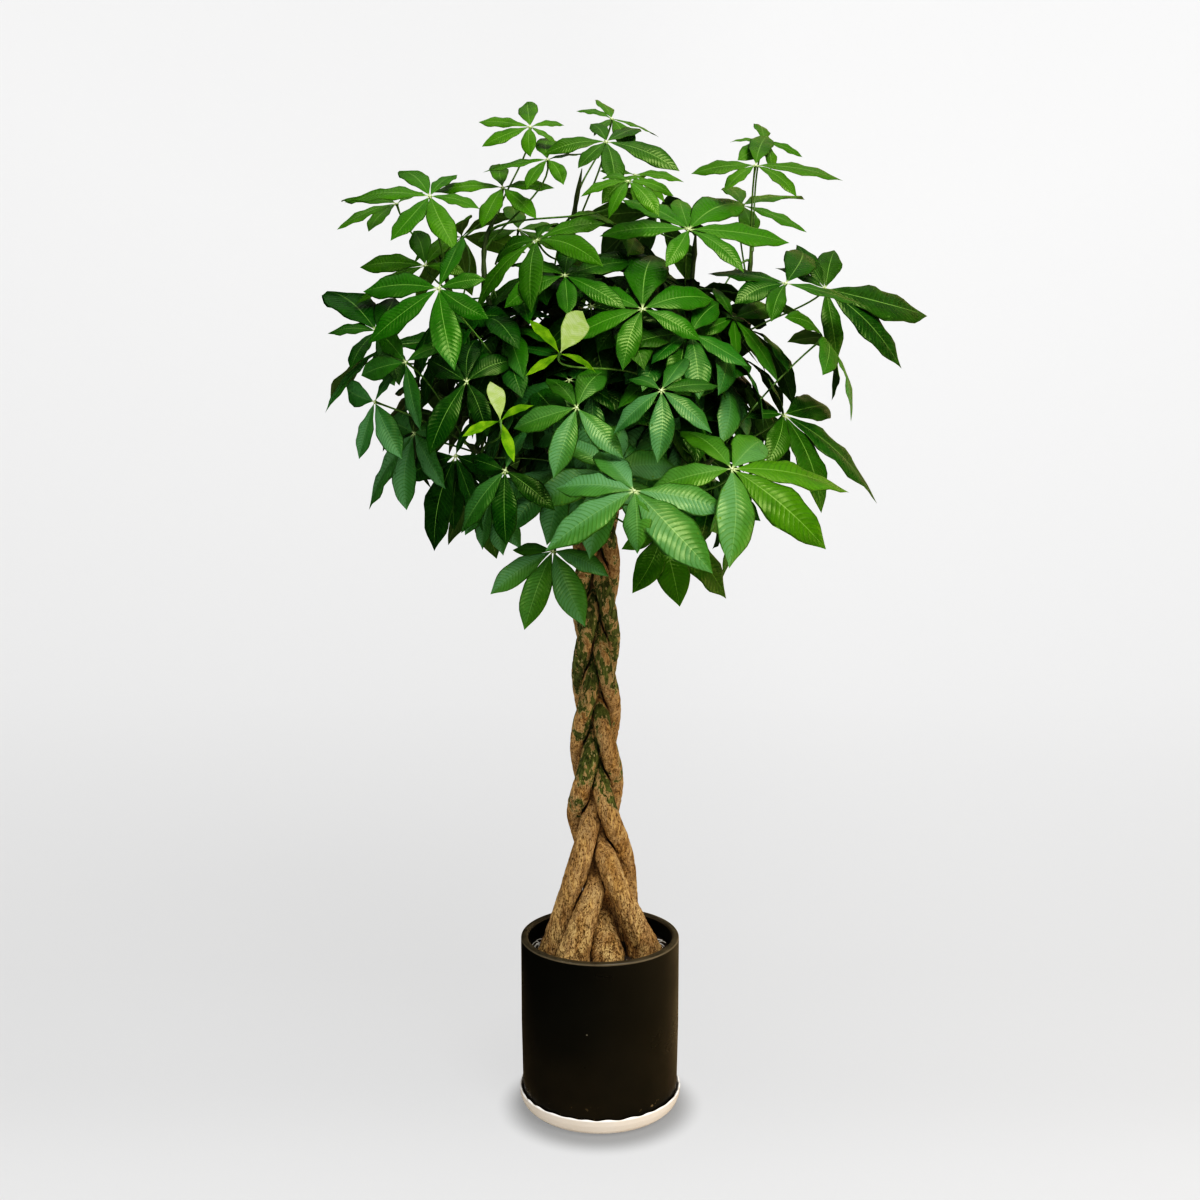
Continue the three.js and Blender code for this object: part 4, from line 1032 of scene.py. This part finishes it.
def build_trunk(strand, look):
    """A trunk with rough bark, flattened where it presses against another one."""
    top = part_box(TRUNKS[strand])[1].z / MM - TRUNK_CAP
    sides = 52
    gap = 0.5
    buried = np.linspace(TRUNK_BOTTOM_Z, SOIL_Z - 12, 5)
    shown = np.arange(SOIL_Z - 8, top, 2.6)
    heights = np.concatenate([buried, shown, [top]])
    bearings = 2 * np.pi * np.arange(sides) / sides
    room = room_for(strand, heights, bearings, gap)
    reach = np.empty_like(room)
    centres = np.stack(strand_centre(strand, heights), axis=-1)
    radii = strand_radius(heights)
    for i, z in enumerate(heights):
        for j, bearing in enumerate(bearings):
            x = centres[i, 0] + radii[i] * math.cos(bearing)
            y = centres[i, 1] + radii[i] * math.sin(bearing)
            reach[i, j] = radii[i] + bark_relief(strand, x, y, z)
    soft = 2.2
    overlap = np.maximum(soft - np.abs(reach - room), 0) / soft
    formed = np.minimum(reach, room) - overlap ** 2 * soft / 4
    # Where the strand meets another: the mask of the painted shade in the creases.
    crease_shade = smoothstep(1.6, -1.2, room - reach)

    rings = []
    marks = []
    for i, z in enumerate(heights):
        ring = [
            (centres[i, 0] + formed[i, j] * math.cos(b), centres[i, 1] + formed[i, j] * math.sin(b), z)
            for j, b in enumerate(bearings)
        ]
        rings.append(ring)
        marks.extend(crease_shade[i])
    x, y = centres[-1]
    last = rings[-1]
    for lift, share in ((3.5, 0.93), (6, 0.75), (TRUNK_CAP, 0.4)):
        rings.append([(x + (px - x) * share, y + (py - y) * share, top + lift) for px, py, _ in last])
        marks.extend(crease_shade[-1])
    points, faces = skin(rings)
    marks.extend([0] * (len(points) - len(marks)))
    piece = mesh_piece(f"trunk_bark_{strand + 1}", points, faces, look)
    set_attribute(piece.data, "crease_shade", marks)
    set_attribute(piece.data, "strand", [strand] * len(points))
    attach(piece, "root")
    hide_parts(TRUNKS[strand])


# Paths

def smooth_path(stops, count):
    """Points evenly spaced along a smooth curve through the stops."""
    stops = [Vector(stop) for stop in stops]
    ends = [2 * stops[0] - stops[1]] + stops + [2 * stops[-1] - stops[-2]]
    dense = []
    for before, start, end, after in zip(ends, ends[1:], ends[2:], ends[3:]):
        pairs = ((before, start), (start, end), (end, after))
        first, mid, last = (math.sqrt((b - a).length) for a, b in pairs)
        leave = (start - before) / first - (end - before) / (first + mid) + (end - start) / mid
        arrive = (end - start) / mid - (after - start) / (mid + last) + (after - end) / last
        leave, arrive = leave * mid, arrive * mid
        for step in range(20):
            t = step / 20
            dense.append(
                start * (2 * t ** 3 - 3 * t ** 2 + 1) + leave * (t ** 3 - 2 * t ** 2 + t)
                + end * (3 * t ** 2 - 2 * t ** 3) + arrive * (t ** 3 - t ** 2)
            )
    dense.append(stops[-1])
    lengths = np.concatenate([[0], np.cumsum([(b - a).length for a, b in zip(dense, dense[1:])])])
    wanted = np.linspace(0, lengths[-1], count)
    axes = [np.interp(wanted, lengths, [point[axis] for point in dense]) for axis in range(3)]
    return [Vector(point) for point in zip(*axes)]


def stem_path(shoot, count):
    start_z, way = SHOOTS[shoot]
    x, y, _ = way[0]
    centres = [plait_point(strand, start_z) for strand in range(len(TRUNKS))]
    outermost = max(centres, key=lambda centre: centre[0] * x + centre[1] * y)
    return smooth_path([(*outermost, start_z), *way], count)


def path_at(path, share):
    place = share * (len(path) - 1)
    low = min(int(place), len(path) - 2)
    return path[low].lerp(path[low + 1], place - low)


def stalk_path(hub, facing, foot, count):
    """The leaf stalk's curve, from under the hub down to its foot in the stem."""
    start = hub - facing * 3 * HUB_HALF
    reach = (start - foot).length
    below = start - facing * reach * STALK_BEND
    rise = start - foot
    rise.z = max(rise.z, 0) + reach * STALK_RISE
    above = foot + rise.normalized() * reach * STALK_BEND
    points = []
    for step in range(count):
        t = step / (count - 1)
        s = 1 - t
        points.append(start * s ** 3 + below * 3 * s * s * t + above * 3 * s * t * t + foot * t ** 3)
    return points


# Leaves read from the model

def neighbours(vertex):
    return [edge.other_vert(vertex) for edge in vertex.link_edges]


def groups_of(vertices):
    """The vertices split into groups that edges between them join."""
    left = set(vertices)
    groups = []
    for first in vertices:
        if first not in left:
            continue
        left.discard(first)
        group, ends = [first], [first]
        while ends:
            for other in neighbours(ends.pop()):
                if other in left:
                    left.discard(other)
                    group.append(other)
                    ends.append(other)
        groups.append(group)
    return groups


def model_leaves(shoot, path):
    """Hub, facing, leaflet tips and stalk foot of each leaf of a shoot in the model."""
    mesh = bmesh.new()
    mesh.from_mesh(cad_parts[shoot].data)
    bmesh.ops.remove_doubles(mesh, verts=mesh.verts, dist=1e-5)
    twins = {}
    for edge in mesh.edges:
        if abs(edge.calc_length() / MM - BLADE_THICKNESS) < 0.02:
            twins[edge.verts[0]] = edge.verts[1]
            twins[edge.verts[1]] = edge.verts[0]
    blades = groups_of([vertex for vertex in mesh.verts if vertex in twins])
    rims = {}
    for number, blade in enumerate(blades):
        for vertex in blade:
            for other in neighbours(vertex):
                if other not in twins:
                    rims.setdefault(other, set()).add(number)
    leaves = []
    for rim in groups_of([vertex for vertex in mesh.verts if vertex in rims]):
        floor = [v for v in rim if any(n not in rims and n not in twins for n in neighbours(v))]
        upper = [v for v in rim if v not in floor]
        own = sorted(set().union(*(rims[vertex] for vertex in rim)))
        if len(upper) != len(floor) or len(upper) < 3:
            continue
        top = sum((v.co for v in upper), Vector()) / len(upper)
        bottom = sum((v.co for v in floor), Vector()) / len(floor)
        facing = (top - bottom).normalized()
        hub = circle_middle([v.co / MM for v in upper], facing) - facing * HUB_HALF
        tips = [leaflet_tip(blades[number], twins) / MM for number in own]
        leaves.append({"hub": hub, "facing": facing, "tips": tips})
    loose = [v.co / MM for v in mesh.verts if v not in twins and v not in rims]
    for leaf in leaves:
        leaf["foot"] = stalk_foot(leaf, path, loose)
    mesh.free()
    return leaves


def circle_middle(points, facing):
    """The middle of the circle that the points lie on, in the plane across the facing."""
    across = facing.orthogonal().normalized()
    over = facing.cross(across)
    flat = [((p - points[0]).dot(across), (p - points[0]).dot(over)) for p in points]
    rows = np.array([(2 * x, 2 * y, 1) for x, y in flat])
    squares = np.array([x * x + y * y for x, y in flat])
    x, y, _ = np.linalg.lstsq(rows, squares, rcond=None)[0]
    return points[0] + across * x + over * y


def leaflet_tip(blade, twins):
    """The tip of a leaflet: its pair of points that meets just two other pairs."""
    def around(vertex):
        met = set(neighbours(vertex)) | set(neighbours(twins[vertex]))
        return met - {vertex, twins[vertex]}

    inner = [v for v in blade if all(other in twins for other in around(v))]
    tip = min(inner, key=lambda v: len(around(v)))
    return (tip.co + twins[tip].co) / 2


def stalk_foot(leaf, path, loose):
    """The foot on the stem whose stalk passes closest to the model's own stalk."""
    def misfit(foot):
        curve = stalk_path(leaf["hub"], leaf["facing"], foot, 4)
        apart = 0
        for point in curve[1:3]:
            nearest = sorted((other - point).length for other in loose)[:3]
            apart += sum(abs(distance - STALK_RADIUS) for distance in nearest)
        return apart

    return min((path_at(path, share) for share in FOOT_SHARES), key=misfit)


# Growing the fine shoots

MARKS = ("tone", "youth", "pale", "wood", "blade")


class Strips:
    """Points and edges of many open paths, with the values that the sweeping needs."""

    def __init__(self):
        self.points = []
        self.edges = []
        self.values = {name: [] for name in ("reach", "along", *MARKS)}
        self.facing = []

    def add(self, path, reaches, facings, alongs=None, **marks):
        start = len(self.points)
        self.points.extend(path)
        self.edges.extend((start + i, start + i + 1) for i in range(len(path) - 1))
        self.values["reach"].extend(reach * MM for reach in reaches)
        self.facing.extend(facings)
        self.values["along"].extend(alongs or [i / (len(path) - 1) for i in range(len(path))])
        for name in MARKS:
            self.values[name].extend([marks.get(name, 0)] * len(path))

    def mesh(self, name):
        mesh = bpy.data.meshes.new(name)
        mesh.from_pydata([tuple(point * MM) for point in self.points], self.edges, [])
        for label, values in self.values.items():
            set_attribute(mesh, label, values)
        set_attribute(mesh, "facing", self.facing, "FLOAT_VECTOR")
        return mesh


def outline_share(t):
    """A leaflet's half width at a share of its length: widest past the middle, pointed."""
    widest = 0.57
    rise = (t / widest) ** 1.35
    fall = (1 - t) / (1 - widest)
    point = 1 - 0.22 * float(smoothstep(0.8, 1.0, t))
    return rise * fall * point


def add_leaflet(strips, leaf, tip, dice):
    stations = 17
    hub, facing = leaf["hub"], leaf["facing"]
    out = tip - hub
    length = out.length
    out = (out - facing * out.dot(facing)).normalized()
    side = facing.cross(out)
    root = hub + out * 1.5
    bend = hub + out * (HUB_RADIUS + length * SPINE_REACH) + facing * (length * SPINE_LIFT)
    sway = dice.uniform(-0.045, 0.045) * length
    nod = dice.uniform(0.0, 0.08) * length
    twist = dice.uniform(-0.6, 0.6)
    width = leaf["width"] * dice.uniform(0.86, 1.14)
    uneven, start = dice.uniform(0.01, 0.045), dice.uniform(0, 6)
    tone = clamped(leaf["tone"] + dice.uniform(-0.25, 0.25))
    pale = leaf["pale"] * (1 if tip is max(leaf["tips"], key=lambda end: (end - hub).length) else 0.45)
    path, reaches, facings, alongs = [], [], [], []
    for step in range(stations):
        s = step / (stations - 1)
        t = 0.5 * s + 0.25 * (1 - math.cos(math.pi * s))
        point = root * (1 - t) ** 2 + bend * 2 * t * (1 - t) + tip * t * t
        point = point + side * sway * math.sin(math.pi * t) - facing * nod * t ** 3
        heading = ((bend - root) * (1 - t) + (tip - bend) * t).normalized()
        level = facing.cross(heading).normalized()
        over = heading.cross(level)
        turned_over = over * math.cos(twist * t) + level * math.sin(twist * t)
        path.append(point)
        half = width * length / 2 * outline_share(t) * (1 + uneven * math.sin(15 * t + start))
        reaches.append(max(half, 1.15 if t < 0.5 else 0.25))
        facings.append(tuple(turned_over))
        alongs.append(t)
    youth = clamped(leaf["youth"] + dice.uniform(-0.12, 0.12))
    strips.add(path, reaches, facings, alongs=alongs, tone=tone, youth=youth, pale=pale, blade=1)


def add_stalk(strips, leaf):
    facing = leaf["facing"]
    path = stalk_path(leaf["hub"], facing, leaf["foot"], 14)[::-1]
    path += [leaf["hub"] - facing * 2, leaf["hub"], leaf["hub"] + facing * 1.6]
    reaches = [3.1, 2.3, 1.8] + [1.6] * 9 + [1.7, 2.2, 3.2, 3.3, 1.0]
    strips.add(path, reaches, [tuple(facing)] * len(path), youth=leaf["youth"])


def add_stem(strips, path, feet):
    count = len(path)
    taper = STEM_TIP_RADIUS - STEM_FOOT_RADIUS
    radii = [STEM_FOOT_RADIUS + taper * i / (count - 1) for i in range(count)]
    for i, point in enumerate(path):
        for foot in feet:
            radii[i] += 1.3 * math.exp(-(((point - foot).length / 7) ** 2))
    radii[-1] = 0.8
    radii[-2] = 2.4
    strips.add(path, radii, [(0, 0, 1)] * count, wood=1)


def shoot_tree():
    """Sweeps the paths of a shoot: round stems and stalks, and closed leaf blades."""
    tree, given, out = new_group("GeometryNodeTree", "leafy shoot", {
        "Geometry": GEOMETRY,
        "Stalk Sides": 8,
        "Blade Points": 16,
        "Thickness": 0.02,
        "Fold": 0.3,
        "Curl": 0.34,
        "Waves": 3.2,
        "Wave Height": 0.09,
        "Keel": 0.0012,
        "Stalk Material": MATERIAL,
        "Leaf Material": MATERIAL,
    }, {"Geometry": GEOMETRY})
    is_blade = maths("GREATER_THAN", named(tree, "blade"), 0.5)
    inputs = {"Geometry": given["Geometry"], "Selection": is_blade}
    paths = outputs("GeometryNodeSeparateGeometry", inputs, domain="POINT")
    rods = output("GeometryNodeMeshToCurve", {"Mesh": paths["Inverted"]})
    stalks = swept(rods, circle(tree, given["Stalk Sides"]), named(tree, "reach"))
    stalks = dressed(stalks, given["Stalk Material"])

    x, y, _ = parts_of(add_node(tree, "GeometryNodeInputPosition").outputs[0])
    wide = maths("POWER", maths("ABSOLUTE", x), 1.35)
    across = times(wide, maths("SIGN", x))
    fold = times(wide, given["Fold"])
    curl = times(maths("POWER", wide, 2.0), given["Curl"])
    over = plus(minus(fold, curl), times(y, given["Thickness"]))
    ring = stored(circle(tree, given["Blade Points"]), "across", across)
    ring = stored(ring, "under", span(y, 0.05, -0.05))
    section = moved(ring, Position=vector_of(over, across, 0.0))

    facing = named(tree, "facing", "FLOAT_VECTOR")
    spines = output("GeometryNodeMeshToCurve", {"Mesh": paths["Selection"]})
    spines = output("GeometryNodeSetCurveNormal", {"Curve": spines, "Normal": facing}, mode="FREE")
    blades = swept(spines, section, named(tree, "reach"))

    side = maths("ABSOLUTE", named(tree, "across"))
    turn = times(named(tree, "along"), times(given["Waves"], 2 * math.pi))
    start = times(named(tree, "tone"), 47.0)
    skew = times(named(tree, "across"), 1.1)
    wave = maths("SINE", plus(plus(turn, start), skew))
    ripple = times(wave, times(side, side, given["Wave Height"]), named(tree, "reach"))
    middle = span(side, 0.0, 0.3, 1.0, 0.0)
    slim = span(named(tree, "along"), 0.0, 1.0, 1.0, 0.15, smooth=False)
    keel = times(middle, slim, given["Keel"], named(tree, "under"))
    blades = moved(blades, Offset=scaled(facing, minus(ripple, keel)))
    blades = dressed(blades, given["Leaf Material"])

    joined = add_node(tree, "GeometryNodeJoinGeometry")
    tree.links.new(stalks, joined.inputs[0])
    tree.links.new(blades, joined.inputs[0])
    real = output("GeometryNodeRealizeInstances", {"Geometry": joined.outputs[0]})
    tree.links.new(output("GeometryNodeSetShadeSmooth", {"Geometry": real}), out["Geometry"])
    return tree


# Extra leaves inside the crown

CROWN_MIDDLE = Vector((0, 0, 1262))
CROWN_REACH = Vector((345, 262, 215))
EXTRA_LEAVES = 84
TRIES = 26
PLAIT_ROOM = 62


def inside_crown(point):
    off = point - CROWN_MIDDLE
    return sum((off[axis] / CROWN_REACH[axis]) ** 2 for axis in range(3)) < 1


def extra_leaf(stems, dice):
    """One leaf somewhere off a stem, facing outwards and up."""
    shoot = dice.choice(sorted(stems))
    foot = path_at(stems[shoot], dice.uniform(0.3, 0.97))
    way = Vector((dice.gauss(0, 1), dice.gauss(0, 1), dice.gauss(0.25, 0.8))).normalized()
    hub = foot + way * dice.uniform(95, 180)
    outwards = hub - Vector((0, 0, 1180))
    facing = (outwards.normalized() + Vector((0, 0, dice.uniform(0.2, 0.9)))).normalized()
    facing = (facing + Vector([dice.uniform(-0.2, 0.2) for _ in range(3)])).normalized()
    count = dice.choice((5, 5, 6, 6, 7))
    length = dice.uniform(115, 160)
    right = Vector((-facing.y, facing.x, 0)).normalized()
    up = facing.cross(right)
    droop = math.radians(dice.uniform(10, 24))
    turn = dice.uniform(-0.4, 0.4)
    tips = []
    for i in range(count):
        share = (i + 0.5 - count / 2) / count
        bearing = -math.pi / 2 + turn + share * math.radians(345)
        reach = length * (0.68 + 0.32 * math.cos(share * math.pi)) * dice.uniform(0.92, 1.05)
        out = right * math.cos(bearing) + up * math.sin(bearing)
        tips.append(hub + out * reach * math.cos(droop) - facing * reach * math.sin(droop))
    return shoot, {"hub": hub, "facing": facing, "tips": tips, "foot": foot}


# Leaves that hang low: the shoot, the hub, and how far right of the hub and above it the tips are
HANGING_LEAVES = [
    ("shoot_front_left", (-60, -170, 1142),
     [(-25, -120), (-85, -100), (-120, -45), (35, -115), (60, -20)]),
    ("shoot_left_low", (-181, -60, 1088),
     [(-45, -60), (-15, -85), (20, -95), (50, -85)]),
    ("shoot_left_low", (-235, 10, 1150),
     [(-60, -90), (-15, -120), (40, -110), (75, -55), (-85, -25)]),
    ("shoot_right_low", (190, -40, 1120),
     [(-70, -80), (-25, -120), (30, -115), (80, -70)]),
]


def hanging_leaf(path, hub, ends):
    hub = Vector(hub)
    places = [path_at(path, share / 20) for share in range(6, 20)]
    foot = min(places, key=lambda place: (place - hub).length)
    facing = Vector((hub.x / 400, -1, 0.45)).normalized()
    tips = [hub + Vector((x, -15, z)) for x, z in ends]
    return {"hub": hub, "facing": facing, "tips": tips, "foot": foot}


def leaf_spots(leaf):
    """The hub, and two places along each leaflet."""
    hub = leaf["hub"]
    return [hub] + [hub.lerp(tip, share) for tip in leaf["tips"] for share in (0.5, 0.9)]


def thicken(stems, leaves):
    """Adds leaves inside the crown, each the one of several tries with the most room."""
    dice = random.Random(21)
    everyone = [leaf for own in leaves.values() for leaf in own]
    taken = [np.array(spot) for leaf in everyone for spot in leaf_spots(leaf)]
    for _ in range(EXTRA_LEAVES):
        best = None
        for _ in range(TRIES):
            shoot, leaf = extra_leaf(stems, dice)
            spots = np.array([tuple(spot) for spot in leaf_spots(leaf)])
            if not all(inside_crown(Vector(spot)) for spot in spots):
                continue
            if any(math.hypot(x, y) < PLAIT_ROOM and z < PLAIT_TOP_Z + 30 for x, y, z in spots):
                continue
            near = np.linalg.norm(np.array(taken)[:, None] - spots[None], axis=2).min(axis=0)
            room = float(np.mean(near))
            if best is None or room > best[0]:
                best = (room, shoot, leaf, spots)
        if best:
            leaves[best[1]].append(best[2])
            taken.extend(best[3])


SMALL_HUB = Vector((43, -163, 1582))
PALE_HUBS = [Vector((-60, -265, 1315)), Vector((-150, -265, 1215))]
PALE_LEAFLET_WIDTH = 0.29


def leaf_at(leaves, spot):
    return min(leaves, key=lambda leaf: (leaf["hub"] - spot).length)


def set_ages(leaves):
    """Each leaf's youth, tone and width. One leaf is half grown and two are new growth."""
    dice = random.Random(5)
    everyone = [leaf for shoot in sorted(leaves) for leaf in leaves[shoot]]
    for leaf in everyone:
        x, y, z = leaf["hub"]
        high = smoothstep(1380, 1560, z)
        right = smoothstep(1260, 1120, z) * smoothstep(-150, 100, x) * smoothstep(-50, -250, y)
        low = max(right, smoothstep(1070, 1020, z))
        leaf["youth"] = clamped(0.5 * high + 0.5 * low + dice.uniform(-0.25, 0.35))
        leaf["tone"] = dice.uniform(0, 1)
        leaf["pale"] = 0
        leaf["width"] = LEAFLET_WIDTH * (1 - 0.1 * high - 0.1 * low + 0.26 * right)
    small = leaf_at(everyone, SMALL_HUB)
    small["tips"] = [small["hub"].lerp(tip, 0.5) for tip in small["tips"]]
    for spot in PALE_HUBS:
        new_growth = leaf_at(everyone, spot)
        new_growth["pale"] = 1
        new_growth["width"] = PALE_LEAFLET_WIDTH


def build_shoots():
    stems = {shoot: stem_path(shoot, 34) for shoot in SHOOTS}
    leaves = {shoot: model_leaves(shoot, stems[shoot]) for shoot in SHOOTS}
    for shoot, hub, ends in HANGING_LEAVES:
        leaves[shoot].append(hanging_leaf(stems[shoot], hub, ends))
    thicken(stems, leaves)
    set_ages(leaves)
    tree = shoot_tree()
    looks = {"Stalk Material": green_stalk(), "Leaf Material": leaf_green()}
    dice = random.Random(9)
    for shoot, path in stems.items():
        strips = Strips()
        add_stem(strips, path, [leaf["foot"] for leaf in leaves[shoot]])
        for leaf in leaves[shoot]:
            add_stalk(strips, leaf)
            for tip in leaf["tips"]:
                add_leaflet(strips, leaf, tip, dice)
        piece = grown(shoot.replace("shoot_", "foliage_"), strips.mesh(shoot), tree, looks)
        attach(piece, "root")
        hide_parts(shoot)


set_camera()
build_studio()
light_studio()
bark_look = bark()
build_pot()
build_saucer()
scatter_on_soil(build_soil())
for number in range(len(TRUNKS)):
    build_trunk(number, bark_look)
build_shoots()

set_tones()
